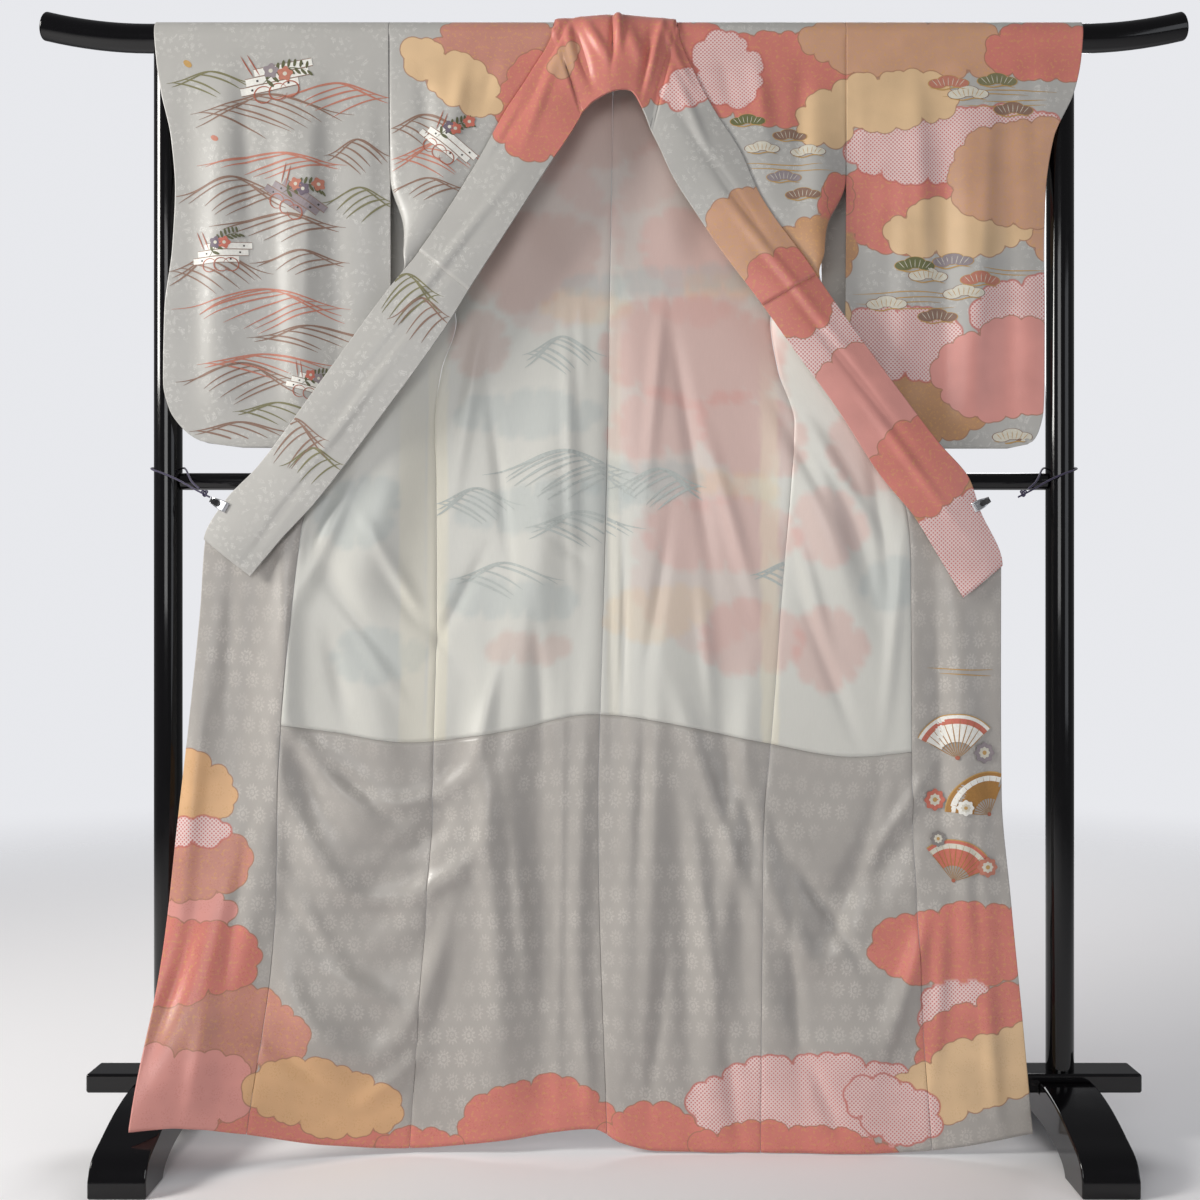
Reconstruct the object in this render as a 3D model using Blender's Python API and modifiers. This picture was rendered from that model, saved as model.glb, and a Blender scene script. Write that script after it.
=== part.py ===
"""Homongi kimono hung open over the bar of a lacquered rack.

Metres, +Z up. The rack stands on z = 0, centred on the origin, and its bar runs along X.
The camera side of the garment is -Y. Left and right are the viewer's.
"""
import math
from collections import namedtuple

import bmesh
import bpy
import numpy as np

# Cloth
WALL = 0.0012            # outer silk
LINING = 0.0010          # lining silk
COLLAR_WALL = 0.0024     # collar with its core
OVER_COLLAR_WALL = 0.0010
SEAM = 0.0003            # gap between two pieces at a seam
FOLD_GAP = 0.0004        # half the parting at the shoulder fold
CORNER_GAP = 0.0006      # added where two pieces meet at an angle
OVERLAP_CORNER_GAP = 0.0006
LINING_INSET = 0.0005    # lining edge back from the seam line

# Rack
BAR_RADIUS = 0.0195
BAR_Z = 1.566
BAR_HALF_LENGTH = 0.808
BAR_CURL_LENGTH = 0.150
BAR_CURL_RISE = 0.018
POST_X = 0.633
POST_RADIUS = 0.0195
RAIL_Z = 0.937
RAIL_RADIUS = 0.012
BEAM_HALF_LENGTH = 0.740
BEAM_DEPTH = 0.056
BEAM_BOTTOM = 0.077
BEAM_TOP = 0.104
FOOT_WIDTH = 0.075
FOOT_REACH = 0.205
FOOT_PAD = 0.070
FOOT_ARCH_HEIGHT = 0.038
FOOT_NOTCH = 0.0006        # play of the beam in the foot
WOOD_GAP = 0.0003

# Top line of a foot: distance in front of the beam's middle, height
FOOT_TOP = (
    (0.205, 0.022),
    (0.200, 0.035),
    (0.190, 0.047),
    (0.156, 0.062),
    (0.125, 0.074),
    (0.095, 0.083),
    (0.064, 0.089),
    (0.040, 0.092),
)

# Cloth lies this far from the bar's axis
CLOTH_RADIUS = BAR_RADIUS + 0.0008 + WALL / 2
COLLAR_RADIUS = CLOTH_RADIUS + WALL / 2 + SEAM + COLLAR_WALL / 2
OVER_COLLAR_STEP = COLLAR_WALL / 2 + SEAM + OVER_COLLAR_WALL / 2
QUARTER_TURN = CLOTH_RADIUS * math.pi / 2

# Sides: the sign of x
LEFT, RIGHT = "left", "right"
SIGN = {LEFT: -1.0, RIGHT: 1.0}

# Side line of the back panels: armhole, side opening, side seam. x is the distance from the middle
SideRow = namedtuple("SideRow", "z left right y")
SIDE = (
    SideRow(1.592, 0.3165, 0.3265, 0.0209),
    SideRow(1.566, 0.3165, 0.3265, 0.0209),
    SideRow(1.472, 0.3155, 0.3260, 0.0180),
    SideRow(1.357, 0.3130, 0.3250, 0.0110),
    SideRow(1.282, 0.2830, 0.2880, 0.0050),
    SideRow(1.217, 0.2430, 0.2420, -0.0010),
    SideRow(1.162, 0.2240, 0.2220, -0.0060),
    SideRow(1.092, 0.2440, 0.2320, -0.0110),
    SideRow(1.017, 0.2530, 0.2540, -0.0160),
    SideRow(0.937, 0.2500, 0.2490, -0.0205),
    SideRow(0.772, 0.2480, 0.2350, -0.0270),
    SideRow(0.572, 0.2520, 0.2180, -0.0330),
    SideRow(0.472, 0.2536, 0.2085, -0.0360),
    SideRow(0.332, 0.2615, 0.2060, -0.0390),
    SideRow(0.102, 0.2780, 0.2040, -0.0440),
    SideRow(0.000, 0.2850, 0.2030, -0.0460),
)

# Outer line of each front: collar seam from the neck to the clip, then the free edge to the hem
EdgeRow = namedtuple("EdgeRow", "z x y")
EDGE = {
    LEFT: (
        EdgeRow(1.592, 0.083, -0.0209),
        EdgeRow(1.566, 0.086, -0.0209),
        EdgeRow(1.504, 0.118, -0.0260),
        EdgeRow(1.448, 0.153, -0.0310),
        EdgeRow(1.383, 0.187, -0.0370),
        EdgeRow(1.247, 0.272, -0.0440),
        EdgeRow(1.199, 0.311, -0.0450),
        EdgeRow(1.074, 0.402, -0.0470),
        EdgeRow(0.951, 0.493, -0.0480),
        EdgeRow(0.905, 0.537, -0.0470),
        EdgeRow(0.851, 0.567, -0.0460),
        EdgeRow(0.752, 0.574, -0.0450),
        EdgeRow(0.575, 0.588, -0.0500),
        EdgeRow(0.414, 0.604, -0.0640),
        EdgeRow(0.240, 0.616, -0.0950),
        EdgeRow(0.070, 0.629, -0.1500),
        EdgeRow(0.000, 0.633, -0.1700),
    ),
    RIGHT: (
        EdgeRow(1.592, 0.087, -0.0209),
        EdgeRow(1.566, 0.090, -0.0209),
        EdgeRow(1.503, 0.114, -0.0260),
        EdgeRow(1.457, 0.137, -0.0310),
        EdgeRow(1.392, 0.176, -0.0370),
        EdgeRow(1.332, 0.202, -0.0410),
        EdgeRow(1.230, 0.271, -0.0450),
        EdgeRow(1.150, 0.326, -0.0460),
        EdgeRow(1.069, 0.385, -0.0470),
        EdgeRow(0.984, 0.449, -0.0480),
        EdgeRow(0.934, 0.491, -0.0480),
        EdgeRow(0.893, 0.505, -0.0470),
        EdgeRow(0.815, 0.537, -0.0460),
        EdgeRow(0.662, 0.537, -0.0450),
        EdgeRow(0.508, 0.538, -0.0450),
        EdgeRow(0.351, 0.550, -0.0480),
        EdgeRow(0.203, 0.563, -0.0520),
        EdgeRow(0.032, 0.577, -0.0560),
        EdgeRow(0.000, 0.580, -0.0570),
    ),
}

# Front armhole seam and the front edge of the side opening, down to the top of the side seam
ArmholeRow = namedtuple("ArmholeRow", "z left right y")
ARMHOLE = (
    ArmholeRow(1.592, 0.3165, 0.3265, -0.0209),
    ArmholeRow(1.566, 0.3165, 0.3265, -0.0209),
    ArmholeRow(1.472, 0.3155, 0.3260, -0.0240),
    ArmholeRow(1.357, 0.3130, 0.3250, -0.0270),
    ArmholeRow(1.282, 0.2840, 0.2880, -0.0130),
    ArmholeRow(1.217, 0.2430, 0.2420, -0.0010),
)

# Front panel: the middle of each section, where the cloth turns back on itself above the waist,
# and the place of the overlap seam between the side line, 0, and the outer line, 1
FrontRow = namedtuple("FrontRow", "z middle_x middle_y overlap_seam")
FRONT = {
    LEFT: (
        FrontRow(1.592, 0.2000, -0.0209, 1.00),
        FrontRow(1.566, 0.2010, -0.0209, 1.00),
        FrontRow(1.472, 0.2350, -0.0300, 1.00),
        FrontRow(1.412, 0.2650, -0.0360, 1.00),
        FrontRow(1.357, 0.2790, -0.0420, 1.00),
        FrontRow(1.292, 0.2880, -0.0440, 1.00),
        FrontRow(1.252, 0.2920, -0.0440, 1.00),
        FrontRow(1.217, 0.2830, -0.0400, 1.00),
        FrontRow(1.162, 0.2800, -0.0370, 0.77),
        FrontRow(1.072, 0.3250, -0.0380, 0.67),
        FrontRow(0.972, 0.3650, -0.0390, 0.62),
        FrontRow(0.872, 0.4020, -0.0400, 0.60),
        FrontRow(0.572, 0.4200, -0.0430, 0.62),
        FrontRow(0.272, 0.4350, -0.0620, 0.60),
        FrontRow(0.000, 0.4560, -0.0860, 0.62),
    ),
    RIGHT: (
        FrontRow(1.592, 0.2070, -0.0209, 1.00),
        FrontRow(1.566, 0.2080, -0.0209, 1.00),
        FrontRow(1.472, 0.2350, -0.0300, 1.00),
        FrontRow(1.412, 0.2600, -0.0360, 1.00),
        FrontRow(1.357, 0.2790, -0.0420, 1.00),
        FrontRow(1.292, 0.2880, -0.0440, 1.00),
        FrontRow(1.252, 0.2920, -0.0440, 1.00),
        FrontRow(1.217, 0.2800, -0.0400, 1.00),
        FrontRow(1.162, 0.2750, -0.0370, 0.77),
        FrontRow(1.072, 0.3120, -0.0380, 0.67),
        FrontRow(0.972, 0.3550, -0.0390, 0.62),
        FrontRow(0.872, 0.3790, -0.0400, 0.61),
        FrontRow(0.572, 0.3790, -0.0400, 0.61),
        FrontRow(0.272, 0.3810, -0.0450, 0.62),
        FrontRow(0.000, 0.3920, -0.0510, 0.63),
    ),
}

# Middle seam of the back
MiddleRow = namedtuple("MiddleRow", "z x")
MIDDLE = (
    MiddleRow(1.592, 0.000),
    MiddleRow(1.022, -0.009),
    MiddleRow(0.602, -0.019),
    MiddleRow(0.472, -0.022),
    MiddleRow(0.000, -0.009),
)

# Height of the hem, and of the seam between the two linings, against world x
HemRow = namedtuple("HemRow", "x hem lining_seam")
HEM = (
    HemRow(-0.660, 0.075, 0.612),
    HemRow(-0.590, 0.071, 0.606),
    HemRow(-0.508, 0.051, 0.600),
    HemRow(-0.392, 0.021, 0.584),
    HemRow(-0.284, 0.010, 0.569),
    HemRow(-0.150, 0.022, 0.585),
    HemRow(-0.030, 0.036, 0.608),
    HemRow(0.010, 0.017, 0.606),
    HemRow(0.060, 0.006, 0.599),
    HemRow(0.203, 0.004, 0.570),
    HemRow(0.335, 0.004, 0.549),
    HemRow(0.428, 0.008, 0.558),
    HemRow(0.590, 0.036, 0.572),
)
NOMINAL_HEM = 0.022
HEM_BLEND_TOP = 0.35

# Largest folds: a ridge towards the camera has a negative depth. lean is degrees from upright,
# positive where the fold's foot goes to the right
Fold = namedtuple("Fold", "x z width length lean depth")
FOLDS = (
    Fold(-0.330, 0.872, 0.040, 0.130, -18, -0.013),
    Fold(-0.375, 0.762, 0.022, 0.080, 28, 0.009),
    Fold(-0.330, 0.612, 0.030, 0.110, 12, -0.006),
    Fold(-0.360, 0.452, 0.060, 0.050, 60, -0.010),
    Fold(-0.340, 0.352, 0.060, 0.040, 60, 0.008),
    Fold(-0.400, 0.172, 0.070, 0.050, 55, -0.008),
    Fold(-0.110, 0.802, 0.035, 0.260, -7, -0.010),
    Fold(-0.200, 0.402, 0.028, 0.130, -20, -0.009),
    Fold(-0.070, 0.252, 0.020, 0.160, 3, 0.006),
    Fold(-0.170, 0.152, 0.040, 0.160, 0, -0.008),
    Fold(0.000, 0.922, 0.016, 0.400, 0, 0.006),
    Fold(0.090, 0.492, 0.045, 0.400, 6, -0.009),
    Fold(0.170, 0.432, 0.022, 0.200, 4, 0.006),
    Fold(0.300, 0.872, 0.036, 0.140, 22, -0.013),
    Fold(0.340, 0.842, 0.020, 0.090, 15, 0.010),
    Fold(0.240, 0.372, 0.030, 0.140, 14, -0.008),
    Fold(0.350, 0.372, 0.030, 0.130, -32, 0.011),
    Fold(0.330, 0.142, 0.050, 0.140, -8, -0.008),
    Fold(-0.500, 0.592, 0.030, 0.300, -4, -0.004),
    Fold(-0.560, 0.222, 0.030, 0.160, -12, -0.008),
    Fold(0.480, 0.472, 0.028, 0.350, 2, -0.005),
)

# Soft upright waves of the sleeves and shoulders
WAVE_LENGTH = 0.105
WAVE_DEPTH = 0.0035
WAVE_TOP, WAVE_FULL = 1.542, 1.372

# Sleeve: outer line, front and back layers
SleeveRow = namedtuple("SleeveRow", "z left right")
SLEEVE_FRONT_OUTLINE = (
    SleeveRow(1.592, 0.647, 0.660),
    SleeveRow(1.566, 0.646, 0.659),
    SleeveRow(1.525, 0.642, 0.655),
    SleeveRow(1.481, 0.635, 0.645),
    SleeveRow(1.414, 0.620, 0.616),
    SleeveRow(1.342, 0.614, 0.606),
    SleeveRow(1.261, 0.618, 0.604),
    SleeveRow(1.172, 0.629, 0.606),
    SleeveRow(1.072, 0.631, 0.606),
    SleeveRow(1.036, 0.623, 0.605),
    SleeveRow(1.008, 0.604, 0.599),
    SleeveRow(0.990, 0.577, 0.588),
    SleeveRow(0.982, 0.520, 0.555),
)
SLEEVE_BACK_OUTLINE = (
    SleeveRow(1.592, 0.647, 0.660),
    SleeveRow(1.566, 0.645, 0.655),
    SleeveRow(1.512, 0.620, 0.625),
    SleeveRow(1.477, 0.607, 0.607),
    SleeveRow(1.392, 0.606, 0.605),
    SleeveRow(1.342, 0.613, 0.605),
    SleeveRow(1.261, 0.618, 0.604),
    SleeveRow(1.172, 0.629, 0.606),
    SleeveRow(1.072, 0.631, 0.606),
    SleeveRow(1.036, 0.623, 0.605),
    SleeveRow(1.008, 0.604, 0.599),
    SleeveRow(0.990, 0.577, 0.588),
    SleeveRow(0.982, 0.520, 0.555),
)
SleeveDepth = namedtuple("SleeveDepth", "z front_in back_in front_out back_out")
SLEEVE_DEPTH = {
    LEFT: (
        SleeveDepth(1.566, -0.0209, 0.0209, -0.0215, 0.0215),
        SleeveDepth(1.472, -0.0240, 0.0190, -0.0260, 0.0215),
        SleeveDepth(1.357, -0.0270, 0.0130, -0.0290, -0.0225),
        SleeveDepth(1.317, -0.0262, 0.0105, -0.0292, -0.0271),
        SleeveDepth(1.172, -0.0200, 0.0020, -0.0292, -0.0271),
        SleeveDepth(1.032, -0.0155, -0.0080, -0.0272, -0.0251),
        SleeveDepth(0.982, -0.0140, -0.0120, -0.0250, -0.0230),
    ),
    RIGHT: (
        SleeveDepth(1.566, -0.0209, 0.0209, -0.0215, 0.0215),
        SleeveDepth(1.472, -0.0240, 0.0190, -0.0260, 0.0215),
        SleeveDepth(1.357, -0.0270, 0.0130, -0.0230, -0.0150),
        SleeveDepth(1.317, -0.0262, 0.0105, -0.0220, -0.0198),
        SleeveDepth(1.172, -0.0200, 0.0020, -0.0180, -0.0158),
        SleeveDepth(1.032, -0.0155, -0.0080, -0.0160, -0.0139),
        SleeveDepth(0.982, -0.0140, -0.0120, -0.0150, -0.0130),
    ),
}
SLEEVE_FOOT = 0.982
SLEEVE_BELLY = 0.007

# Free edge of the collar, for the section that leaves the collar seam at seam_z
CollarRow = namedtuple("CollarRow", "seam_z x y z")
COLLAR_EDGE = {
    LEFT: (
        CollarRow(1.592, 0.0430, -0.0340, 1.450),
        CollarRow(1.566, 0.0470, -0.0345, 1.442),
        CollarRow(1.504, 0.0580, -0.0370, 1.422),
        CollarRow(1.448, 0.0910, -0.0420, 1.371),
        CollarRow(1.383, 0.1280, -0.0480, 1.311),
        CollarRow(1.247, 0.2030, -0.0540, 1.192),
        CollarRow(1.199, 0.2270, -0.0560, 1.152),
        CollarRow(1.074, 0.3270, -0.0590, 1.012),
        CollarRow(0.951, 0.4120, -0.0590, 0.901),
        CollarRow(0.905, 0.4560, -0.0580, 0.854),
        CollarRow(0.851, 0.5020, -0.0560, 0.800),
    ),
    RIGHT: (
        CollarRow(1.592, 0.0500, -0.0340, 1.427),
        CollarRow(1.566, 0.0540, -0.0345, 1.418),
        CollarRow(1.503, 0.0640, -0.0370, 1.397),
        CollarRow(1.457, 0.0810, -0.0410, 1.358),
        CollarRow(1.392, 0.1180, -0.0460, 1.298),
        CollarRow(1.332, 0.1480, -0.0500, 1.252),
        CollarRow(1.230, 0.1980, -0.0550, 1.184),
        CollarRow(1.150, 0.2500, -0.0580, 1.110),
        CollarRow(1.069, 0.3080, -0.0590, 1.030),
        CollarRow(0.984, 0.3660, -0.0590, 0.940),
        CollarRow(0.934, 0.4150, -0.0590, 0.880),
        CollarRow(0.893, 0.4410, -0.0580, 0.838),
        CollarRow(0.815, 0.4820, -0.0560, 0.770),
    ),
}
COLLAR_END = {LEFT: 0.851, RIGHT: 0.815}

# Collar round the back of the neck: height over the bar's axis at the seam, and the free edge
NeckRow = namedtuple("NeckRow", "seam_x seam_y seam_z free_x free_y free_z")
NECK = (
    NeckRow(-0.066, 0.0040, 1.589, -0.0370, -0.0350, 1.455),
    NeckRow(-0.048, 0.0065, 1.590, -0.0310, -0.0360, 1.461),
    NeckRow(-0.025, 0.0065, 1.591, -0.0190, -0.0380, 1.468),
    NeckRow(0.000, 0.0065, 1.592, -0.0060, -0.0400, 1.474),
    NeckRow(0.025, 0.0065, 1.591, 0.0100, -0.0390, 1.478),
    NeckRow(0.048, 0.0065, 1.590, 0.0260, -0.0370, 1.475),
    NeckRow(0.070, 0.0040, 1.589, 0.0400, -0.0350, 1.452),
)
NECK_HALF_WIDTH = 0.085
NECK_CORNER = 0.012
NECK_DROP = 0.009          # how far behind the top of the bar the back neck seam lies
OVER_COLLAR_END = {LEFT: 1.250, RIGHT: 1.217}
COLLAR_BOW = 0.004
NECK_RISE = 0.006          # how far the collar stands off the bar

# Rows of the panels: distances from the top of the bar, then heights
SHOULDER_ROWS = (FOLD_GAP, 0.0082, 0.0164, 0.0246, QUARTER_TURN, 0.075, 0.130)
UPPER_HEIGHTS = (1.412, 1.357, 1.317, 1.282, 1.250)
SKIRT_HEIGHTS = (1.217, 1.187, 1.152, 1.102, 1.042, 0.972, 0.902, 0.842, 0.772, 0.702, 0.642,
                 0.582, 0.512, 0.442, 0.372, 0.302, 0.232, 0.162, 0.092, NOMINAL_HEM)
SLEEVE_HEIGHTS = (1.412, 1.357, 1.317, 1.261, 1.202, 1.137, 1.072, 1.036, 1.008, 0.990,
                  SLEEVE_FOOT)
OVERLAP_TOP_ROW = 1        # the skirt row where the overlap begins
LINING_SEAM_ROW = 11       # the skirt row that the seam between the two linings follows
SIDE_SEAM_TOP = 1.217
ARMHOLE_END = 1.357        # lower end of the seam between sleeve and body
BACK_COLUMNS = 7
FRONT_COLUMNS = 8
OVERLAP_COLUMNS = 4
SLEEVE_COLUMNS = 7
COLLAR_ROWS = 6
LEAST_ROW = 0.012          # shortest last row of the collar
COLLAR_SPACING = 1.2      # above 1: its points lie closer together by the seam
COLLAR_SEAM_SIDE = 0.0004  # collar beside the panel's edge, above the waist
COLLAR_SEAM_LIFT = 0.0042  # collar in front of the overlap, below it
COLLAR_CLEARANCE = 0.0045
COLLAR_REST_TOP = 1.167    # below this the collar lies on the front
COLLAR_START_LIFT = 0.0018 # collar over the panel's level where it crosses the bar
COLLAR_START_RUN = 0.026   # way in which it comes up to its full height over the bar

# Heights between which a shape comes in, from none to full
SIDE_CORNER_LOW = (1.032, 1.102)
SIDE_CORNER_HIGH = (1.472, 1.412)
OVERLAP_CORNER = (1.122, 1.192)
COLLAR_LAYER = (1.322, 1.222)
FOLD_FADE = (1.232, 1.092)
UPPER_WAVE = (1.222, 1.312)
SLEEVE_BELLY_LOW = (0.982, 1.272)
SLEEVE_BELLY_HIGH = (1.566, 1.422)
SLEEVE_WAVE = (0.982, 1.072)
LINING_SHIFT_REACH = 0.25
BACK_NECK_DROP = (0.05, 0.0)   # the same, by distance from the top of the bar

STRIP_STEP = 0.01          # part of a strip over which its width is measured

# Clips and ties. A tie's route: distance from the middle, depth, height
CLIP_HEIGHT = 0.898
CLIP_WIDTH = 0.014
CLIP_LENGTH = 0.027
CLIP_BITE = 0.009
CLIP_NECK = 0.004
CLIP_FLARE = 0.0012
CLIP_METAL = 0.0012
CLIP_LEAN = 28
CLIP_PLAY = 0.0022
TIE_RADIUS = 0.00125
TIE_STEPS = 3
TIE_ROUTE = (
    (0.5600, -0.0480, 0.910),
    (0.5800, -0.0400, 0.920),
    (0.6100, -0.0275, 0.936),
    (0.6330, -0.0225, 0.946),
    (0.6500, -0.0150, 0.952),
    (0.6560, 0.0000, 0.956),
    (0.6500, 0.0160, 0.958),
    (0.6330, 0.0225, 0.959),
    (0.6160, 0.0155, 0.958),
    (0.6090, 0.0000, 0.955),
    (0.6020, -0.0150, 0.950),
    (0.5900, -0.0330, 0.934),
    (0.5760, -0.0420, 0.922),
)

COLLECTION = bpy.data.collections.new("homongi_kimono")
CUTTERS = bpy.data.collections.new("cutters")


def clear_scene():
    for item in list(bpy.data.objects):
        bpy.data.objects.remove(item, do_unlink=True)
    bpy.context.scene.collection.children.link(COLLECTION)
    bpy.context.scene.collection.children.link(CUTTERS)


def material(name, colour, roughness, metallic=0.0):
    made = bpy.data.materials.new(name)
    made.use_nodes = True
    shader = made.node_tree.nodes["Principled BSDF"]
    shader.inputs["Base Color"].default_value = (*colour, 1.0)
    shader.inputs["Roughness"].default_value = roughness
    shader.inputs["Metallic"].default_value = metallic
    return made


def read(rows, column, at):
    """Smooth value of a table's column at one place in its first column, with no overshoot."""
    keys = np.array([row[0] for row in rows])
    values = np.array([getattr(row, column) for row in rows])
    if keys[0] > keys[-1]:
        keys, values = keys[::-1], values[::-1]
    at = min(max(at, keys[0]), keys[-1])
    steps = np.diff(keys)
    slopes = np.diff(values) / steps
    tangents = np.zeros(len(keys))
    for i in range(1, len(keys) - 1):
        if slopes[i - 1] * slopes[i] > 0:
            tangents[i] = 2 / (1 / slopes[i - 1] + 1 / slopes[i])
    tangents[0], tangents[-1] = slopes[0], slopes[-1]
    i = min(int(np.searchsorted(keys, at, side="right")) - 1, len(steps) - 1)
    t = (at - keys[i]) / steps[i]
    return (values[i] * (1 + 2 * t) * (1 - t) ** 2 + values[i + 1] * t * t * (3 - 2 * t)
            + steps[i] * (tangents[i] * t * (1 - t) ** 2 - tangents[i + 1] * t * t * (1 - t)))


def ease(low, high, value):
    """0 at low, 1 at high, smooth between; low may be the greater."""
    t = min(max((value - low) / (high - low), 0.0), 1.0)
    return t * t * (3 - 2 * t)


def fold_depth(x, z):
    """Sum of the largest folds at one place."""
    total = 0.0
    for fold in FOLDS:
        lean = math.radians(fold.lean)
        dx, dz = x - fold.x, z - fold.z
        across = dx * math.cos(lean) + dz * math.sin(lean)
        along = -dx * math.sin(lean) + dz * math.cos(lean)
        total += fold.depth * math.exp(-(across / fold.width) ** 2 - (along / fold.length) ** 2)
    return total * ease(*FOLD_FADE, z)


def wave(x, z):
    swell = ease(WAVE_TOP, WAVE_FULL, z)
    return WAVE_DEPTH * swell * math.sin(2 * math.pi * x / WAVE_LENGTH)


def hem_shift(x, z):
    """Lowers or lifts the rows above the hem so that the last one lies on it."""
    return (read(HEM, "hem", x) - NOMINAL_HEM) * ease(HEM_BLEND_TOP, NOMINAL_HEM, z)


def lining_seam_shift(x, z):
    """Moves the rows near the seam between the linings so that one of them lies on it."""
    seam = SKIRT_HEIGHTS[LINING_SEAM_ROW]
    reach = LINING_SHIFT_REACH if z > seam else -LINING_SHIFT_REACH
    near = ease(seam + reach, seam, z)
    return (read(HEM, "lining_seam", x) - seam) * near


def bar_height(distance):
    """Height at a distance along the cloth from the top of the bar."""
    if distance < QUARTER_TURN:
        return BAR_Z + CLOTH_RADIUS * math.cos(distance / CLOTH_RADIUS)
    return BAR_Z - (distance - QUARTER_TURN)


def distances(heights):
    return [QUARTER_TURN + BAR_Z - z for z in heights]


def bezier(start, middle, end, t):
    """Curve through three points, the middle one half-way."""
    control = 2 * middle - (start + end) / 2
    return start * (1 - t) ** 2 + control * 2 * t * (1 - t) + end * t * t


def front_point(side, u, distance):
    """Front panel and overlap as one sheet: u is 0 at the side line and 1 at the outer line."""
    z = bar_height(distance)
    side_line = SIDE if z < SIDE_SEAM_TOP else ARMHOLE
    start_x, start_y = read(side_line, side, z), read(side_line, "y", z)
    middle_x = read(FRONT[side], "middle_x", z)
    middle_y = read(FRONT[side], "middle_y", z)
    end_x, end_y = read(EDGE[side], "x", z), read(EDGE[side], "y", z)
    x = SIGN[side] * bezier(start_x, middle_x, end_x, u)
    if distance < QUARTER_TURN:
        return np.array((x, -CLOTH_RADIUS * math.sin(distance / CLOTH_RADIUS), z))
    y = bezier(start_y, middle_y, end_y, u) + fold_depth(x, z)
    y += wave(x, z) * math.sin(math.pi * u) * ease(*UPPER_WAVE, z)
    z += hem_shift(x, z) + lining_seam_shift(x, z)
    return np.array((x, y, z))


def side_gap(z, gap):
    """Gap at the armhole and side seam, wider where two panels meet at an angle."""
    return gap + CORNER_GAP * ease(*SIDE_CORNER_LOW, z) * ease(*SIDE_CORNER_HIGH, z)


def front_strip(side, u, distance, first, last, gap):
    """A strip of the front sheet between two of its lines, a gap inside each of them."""
    z = bar_height(distance)

    def step(line):
        low, high = max(line - STRIP_STEP, 0.0), min(line + STRIP_STEP, 1.0)
        run = front_point(side, high, distance) - front_point(side, low, distance)
        if line == 0.0:
            wide = side_gap(z, gap)
        else:
            wide = gap + OVERLAP_CORNER_GAP * ease(*OVERLAP_CORNER, z)
        return wide * (high - low) / np.linalg.norm(run)

    first, last = first + step(first), last - step(last)
    return front_point(side, first + (last - first) * u, distance)


def front_depth(side, x, z):
    """Depth of the front sheet, below the waist, behind a point seen from the camera side."""
    distance = distances([z])[0]
    samples = [front_point(side, u, distance) for u in np.linspace(0, 1, 15)]
    reach = [abs(point[0]) for point in samples]
    return float(np.interp(abs(x), reach, [point[1] for point in samples]))


def back_point(side, u, distance, gap=SEAM / 2):
    """Back panel: u is 0 at the middle seam and 1 at the side line."""
    z = bar_height(distance)
    sign = SIGN[side]
    first = read(MIDDLE, "x", z) + sign * gap
    last = read(SIDE, side, z) - side_gap(z, gap)
    x = first + (sign * last - first) * u
    drop = NECK_DROP * ease(NECK_HALF_WIDTH + NECK_CORNER, NECK_HALF_WIDTH, abs(x))
    distance += drop * ease(*BACK_NECK_DROP, distance)
    if distance < QUARTER_TURN:
        return np.array((x, CLOTH_RADIUS * math.sin(distance / CLOTH_RADIUS), bar_height(distance)))
    y = read(SIDE, "y", z) + fold_depth(x, z)
    z += hem_shift(x, z) + lining_seam_shift(x, z)
    return np.array((x, y, z))


def sleeve_point(side, layer, u, distance):
    """Sleeve layer: u is 0 at the body and 1 at the cuff and outer edge."""
    z = bar_height(distance)
    if layer == "front":
        outline, armhole, turn = SLEEVE_FRONT_OUTLINE, ARMHOLE, -1.0
    else:
        outline, armhole, turn = SLEEVE_BACK_OUTLINE, SIDE, 1.0
    inner = read(armhole, side, max(z, ARMHOLE_END)) + SEAM / 2
    x = SIGN[side] * (inner + (read(outline, side, z) - inner) * u)
    if distance < QUARTER_TURN:
        return np.array((x, turn * CLOTH_RADIUS * math.sin(distance / CLOTH_RADIUS), z))
    if z > ARMHOLE_END:
        near = read(armhole, "y", z)
    else:
        near = read(SLEEVE_DEPTH[side], layer + "_in", z)
    far = read(SLEEVE_DEPTH[side], layer + "_out", z)
    belly = math.sin(math.pi * u) * ease(*SLEEVE_BELLY_LOW, z) * ease(*SLEEVE_BELLY_HIGH, z)
    y = near + (far - near) * u ** 1.5 + turn * SLEEVE_BELLY * belly
    y += wave(x, z) * math.sin(math.pi * u) * ease(*SLEEVE_WAVE, z)
    return np.array((x, y, z))


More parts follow.
